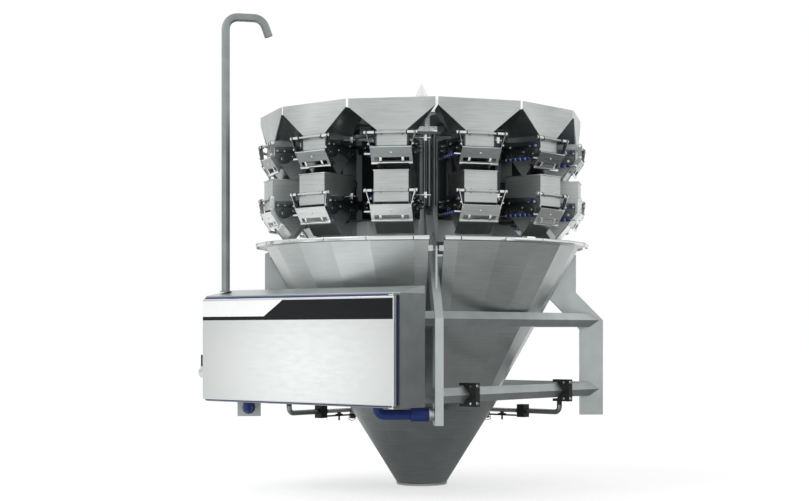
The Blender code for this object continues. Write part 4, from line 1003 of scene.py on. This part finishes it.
turning(outlet, [(OUTLET_R, 0.4 * MM), (OUTLET_R + 6 * MM, 0.4 * MM), (OUTLET_R + 8 * MM, 2.5 * MM),
                 (OUTLET_R + 9 * MM, 7 * MM), (OUTLET_R + 9 * MM, 10 * MM), (OUTLET_R + 2 * MM, 10 * MM),
                 (OUTLET_R, 0.4 * MM)], Matrix.Translation((AXIS.x, AXIS.y, funnel_low)), 64)
# The outlet rim takes the front chute's lighter sheet, which is painted light.
chute_rims = [piece("chute_rims", edge_strips, POLISHED),
              piece("outlet_rim", outlet, LIT_CHUTE_SHEET)]
print("chute rims", faces_of(chute_rims))

# %% [markdown]
# ## Clamp hardware
#
# Two black clamps on each lower front beam carry the funnel's holders, with bright bolts. A steel arm
# runs on from a holder's tube to the funnel. A T-shaped black knob under the arm locks it, and wire
# loops on the arm clip to the funnel's wall, so that a cleaner can take the funnel away without tools.
# A loop could be a curve with a round section, but short rods in a ring give the same at this size
# and stay one mesh. The second side is a mirrored copy of the first.

# %% Clamp hardware
RIDGE = 0.854 / math.sqrt(2)
CLAMP_OUTER = RIDGE + 30 * MM
CLAMP_BOLT = 37 * MM
BEAM_Z = 0.122
SUPPORT_Y = 0.29966
NEAR_CLAMP_Y = 0.219 - RIDGE
TUBE_Z = 0.022
TUBE_R = 10 * MM
ARM_END = 0.140
KNOB_X = 0.243
LOOP_X = 0.148
LOOP_HALF = (24 * MM, 9 * MM)
LOOP_WIRE = 1.8 * MM
LOOP_STEPS = 14

bolts, handles, loops, arms = bmesh.new(), bmesh.new(), bmesh.new(), bmesh.new()
for y in (SUPPORT_Y, NEAR_CLAMP_Y):
    for z in (BEAM_Z - CLAMP_BOLT, BEAM_Z + CLAMP_BOLT):
        bolt(bolts, facing((CLAMP_OUTER, y - 5 * MM, z), (1, 0, 0)), 10 * MM)
        rod(bolts, (RIDGE + 5 * MM, y - 13 * MM, z), (RIDGE + 5 * MM, y - 19 * MM, z), 5 * MM, 12)
rod(arms, (BLOCK_AT - 5 * MM, SUPPORT_Y, TUBE_Z), (ARM_END, SUPPORT_Y, TUBE_Z), TUBE_R, 20)
turned_ring(handles, facing((KNOB_X, SUPPORT_Y, TUBE_Z - TUBE_R + 2 * MM), (0, 0, -1)), 9 * MM, 8 * MM)
slab(handles, (KNOB_X - 22 * MM, SUPPORT_Y - 6 * MM, TUBE_Z - TUBE_R - 14 * MM),
     (KNOB_X + 22 * MM, SUPPORT_Y + 6 * MM, TUBE_Z - TUBE_R - 5 * MM), 3 * MM)
rod(handles, (KNOB_X, SUPPORT_Y, TUBE_Z - TUBE_R - 12 * MM),
    (KNOB_X, SUPPORT_Y, TUBE_Z - 46 * MM), 4.5 * MM, 12)
for drop in (0, 10 * MM, 20 * MM):
    turns = [k * math.tau / LOOP_STEPS for k in range(LOOP_STEPS)]
    bend = [(LOOP_X + LOOP_HALF[0] * math.cos(turn), SUPPORT_Y + drop / 4,
             1 * MM - drop + LOOP_HALF[1] * math.sin(turn)) for turn in turns]
    for first, second in zip(bend, bend[1:] + bend[:1]):
        rod(loops, first, second, LOOP_WIRE, 8)
mirror = Matrix(((0, -1, 0, 0), (-1, 0, 0, 0), (0, 0, 1, 0), (0, 0, 0, 1)))
for bm in (bolts, handles, loops, arms):
    repeated(bm, (Matrix.Translation(AXIS), Matrix.Translation(AXIS) @ mirror))
clamps = [piece("clamp_bolts", bolts, POLISHED),
          piece("clamp_handles", handles, BLACK_NYLON),
          piece("clip_loops", loops, POLISHED),
          piece("funnel_arms", arms, POLISHED)]
print("clamp hardware", faces_of(clamps))

# %% [markdown]
# ## Cabinet seal, hinge caps and mast fittings
#
# A blue silicone seal shows as a thin line round the door, just behind its edge. It could be swept
# along a path, but its runs are straight, so each is a slab with soft edges. It belongs to the door
# and swings with it; only the strip beside the hinge stays on the cabinet. Round caps close the hinge
# pins, and the mast stands in a turned flange.

# %% Cabinet and mast fittings
MAST_FROM_AXIS = Vector((-0.537, -0.73987, 0))
MAST_R = 19.4 * MM
HINGE = next(Vector(j["pos_m"]) for j in frame["joints"] if j["child"] == "cabinet_door")
door_back = DOOR[0].y + 19.4 * MM
rim_front = HINGE.y + 21.2 * MM
seal = bmesh.new()
left, right = DOOR[0].x - 6 * MM, HINGE.x - 18 * MM
bottom, top = DOOR[0].z - 5 * MM, DOOR[1].z + 7 * MM
slab(seal, (left, door_back, top - 12 * MM), (right, rim_front, top), 1.5 * MM)
slab(seal, (left, door_back, bottom), (right, rim_front, bottom + 10 * MM), 1.5 * MM)
slab(seal, (left, door_back, bottom + 8 * MM), (left + 12 * MM, rim_front, top - 8 * MM), 1.5 * MM)
hinge_strip = bmesh.new()
slab(hinge_strip, (DOOR[1].x - 8 * MM, rim_front - 4.5 * MM, bottom + 12 * MM),
     (DOOR[1].x, rim_front, top - 14 * MM), 1 * MM)
caps = bmesh.new()
for z, direction in ((DOOR[1].z + 6.2 * MM, 1), (DOOR[0].z - 10 * MM, -1)):
    turned_ring(caps, facing((HINGE.x, HINGE.y, z), (0, 0, direction)), 5 * MM, 2.5 * MM)
flange = bmesh.new()
mast_foot = AXIS + MAST_FROM_AXIS
mast_foot.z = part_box("mast")[0].z + 0.5 * MM
turning(flange, [(MAST_R, 0), (27 * MM, 0), (27 * MM, 2.5 * MM), (25 * MM, 4 * MM), (MAST_R, 4 * MM),
                 (MAST_R, 0)], Matrix.Translation(mast_foot), 32)
cabinet_trim = [piece("door_seal", seal, BLUE_SEAL, "cabinet_door"),
                piece("hinge_side_seal", hinge_strip, BLUE_SEAL),
                piece("hinge_caps", caps, POLISHED),
                piece("mast_flange", flange, BLASTED)]
print("cabinet and mast", faces_of(cabinet_trim))

# %% [markdown]
# ## Conduit glands
#
# Each blue conduit ends at the leg in a gland of nickel-plated brass. The gland is turned in steps,
# for its wrench collar and its seal, so one closed profile is spun round the conduit's own axis.

# %% Conduit glands
GLAND_FROM_AXIS = 0.800
GLAND_Z = 0.044
LEG_HALF = 18.5 * MM
BORE_R = 21.4 * MM

glands = bmesh.new()
for side in (1, -1):
    angle = math.radians(-45 if side > 0 else -135)
    outward = Vector((math.cos(angle), math.sin(angle), 0))
    sideways = Vector((math.sin(angle), -math.cos(angle), 0)) * side
    seat = AXIS + outward * GLAND_FROM_AXIS + sideways * LEG_HALF + Vector((0, 0, GLAND_Z))
    turning(glands, [(BORE_R, 0), (26 * MM, 0), (26 * MM, 7 * MM), (24 * MM, 8 * MM), (24 * MM, 14 * MM),
                     (27 * MM, 15 * MM), (27 * MM, 20 * MM), (BORE_R, 20 * MM), (BORE_R, 0)],
            facing(seat, sideways), 24)
conduit_trim = [piece("conduit_glands", glands, GLAND_NICKEL)]
print("glands", faces_of(conduit_trim))

# %% [markdown]
# ## Light and floor
#
# The machine stands in a white studio. One wide soft lamp hangs above and to the left, a weaker one
# fills from the right, and the white world lights the rest. The camera and mirror-like surfaces see
# the world and the floor as white. More light could bleach the background too, but it would bleach
# the steel with it, so a glow that only those rays see whitens it, and the floor keeps its shadow.

# %% World
def seen_directly(tree):
    """1 for rays from the camera, a mirror or glass, and 0 for light that falls on a surface."""
    path = add(tree, "ShaderNodeLightPath").outputs
    camera_or_gloss = add(tree, "ShaderNodeMath", {
        0: path["Is Camera Ray"], 1: path["Is Glossy Ray"]}, operation="MAXIMUM").outputs[0]
    return add(tree, "ShaderNodeMath", {
        0: camera_or_gloss, 1: path["Is Transmission Ray"]}, operation="MAXIMUM").outputs[0]


AMBIENT = 0.55
world = bpy.data.worlds.new("white_studio")
world.use_nodes = True
bpy.context.scene.world = world
sky = world.node_tree
strength = add(sky, "ShaderNodeMapRange", {
    "Value": seen_directly(sky), "From Min": 0.0, "From Max": 1.0, "To Min": AMBIENT, "To Max": 1.0,
}).outputs[0]
sky.links.new(strength, sky.nodes["Background"].inputs["Strength"])
sky.nodes["Background"].inputs["Color"].default_value = linear("FFFFFF")
print("world", world.name)

# %% Floor and lamps
FLOOR_SIZE = 60.0
FLOOR_CLOUD = 800.0
FLOOR_GLOW = 0.52
bm = bmesh.new()
bmesh.ops.create_grid(bm, x_segments=1, y_segments=1, size=FLOOR_SIZE,
                      matrix=Matrix.Translation((AXIS.x, AXIS.y, CAD_LOW.z - 1 * MM)))
floor_mesh = mesh_from("studio_floor", bm)
floor = placed("studio_floor", floor_mesh)
floor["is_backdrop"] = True
FLOOR_PAINT, tree, shader, place = new_finish("pale_floor_paint", 0.0, 0.9)
tint(tree, shader, clouds(tree, place, FLOOR_CLOUD), "E8E8E8", "EBEBEB")
shader.inputs["Emission Color"].default_value = linear("FFFFFF")
seen = seen_directly(tree)
glow = add(tree, "ShaderNodeMath", {0: seen, 1: FLOOR_GLOW}, operation="MULTIPLY").outputs[0]
tree.links.new(glow, shader.inputs["Emission Strength"])
floor_mesh.materials.append(FLOOR_PAINT)


def soft_lamp(name, offset, target, size, power):
    """A square soft lamp at an offset from the machine's axis, looking at a target there."""
    light = bpy.data.lights.new(name, "AREA")
    light.shape = "RECTANGLE"
    light.size, light.size_y = size
    light.energy = power
    lamp = placed(name, light)
    lamp.location = AXIS + Vector(offset)
    lamp.rotation_euler = (Vector(target) - Vector(offset)).to_track_quat("-Z", "Y").to_euler()
    return lamp


soft_lamp("key_lamp", (-2.0, -5.6, 4.4), (0, 0, 0.7), (4.0, 3.0), 110)
soft_lamp("fill_lamp", (5.0, 2.6, 4.2), (0, 0, 0.6), (4.0, 4.0), 40)
print("stage", floor.name)

# %% [markdown]
# ## Reflection cards
#
# Steel shows what stands round it, so a photographer places cards: bright ones for a soft gradient,
# dark ones for edges that read. These cards are seen only by reflections. A dark one lies on the
# floor under the machine, a dark one stands behind on the right, and a bright one with a soft edge
# stands in front on the left, which gives the door its glow.

# %% Cards
def card(name, centre, direction, size, middle, edge, reach):
    """A glowing card that only reflections see: its glow goes from the middle's to the edge's value."""
    bm = bmesh.new()
    stretch = Matrix.Diagonal((size[0] / 2, size[1] / 2, 1, 1))
    bmesh.ops.create_grid(bm, x_segments=1, y_segments=1, size=1,
                          matrix=facing(centre, direction) @ stretch)
    mesh = mesh_from(name, bm)
    made = placed(name, mesh)
    made.visible_camera = made.visible_diffuse = made.visible_shadow = False
    made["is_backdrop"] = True
    paint, tree, shader, place = new_finish(name + "_paper", 0.0, 1.0)
    shader.inputs["Base Color"].default_value = linear("000000")
    shader.inputs["Emission Color"].default_value = linear("FFFFFF")
    away = add(tree, "ShaderNodeVectorMath", {0: place, 1: centre}, operation="DISTANCE")
    glow = add(tree, "ShaderNodeMapRange", {
        "Value": away.outputs["Value"], "From Min": reach[0], "From Max": reach[1],
        "To Min": middle, "To Max": edge,
    }, interpolation_type="SMOOTHSTEP")
    tree.links.new(glow.outputs[0], shader.inputs["Emission Strength"])
    mesh.materials.append(paint)
    return made


FLOOR_Z = CAD_LOW.z + 3 * MM
cards = [
    card("floor_card", Vector((AXIS.x + 0.5, AXIS.y + 0.4, FLOOR_Z)), (0, 0, 1), (4.6, 4.6),
         0.24, 1.0, (0.9, 2.2)),
    card("dark_card", AXIS + Vector((2.1, 1.0, 0.25)), (-0.64, -0.77, 0), (2.6, 1.1),
         0.22, 0.30, (0.3, 1.3)),
    card("bright_card", AXIS + Vector((-1.82, -2.80, 0.18)), (0.64, 0.77, 0), (3.0, 1.7),
         1.55, 0.62, (0.0, 0.95)),
]
print("cards", [made.name for made in cards])

# %% [markdown]
# ## Sizes
#
# The box of everything that shows is printed here; the box of the solids was printed at the start.

# %% Sizes and finish
low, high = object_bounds()
print("visual box", low[:], high[:])
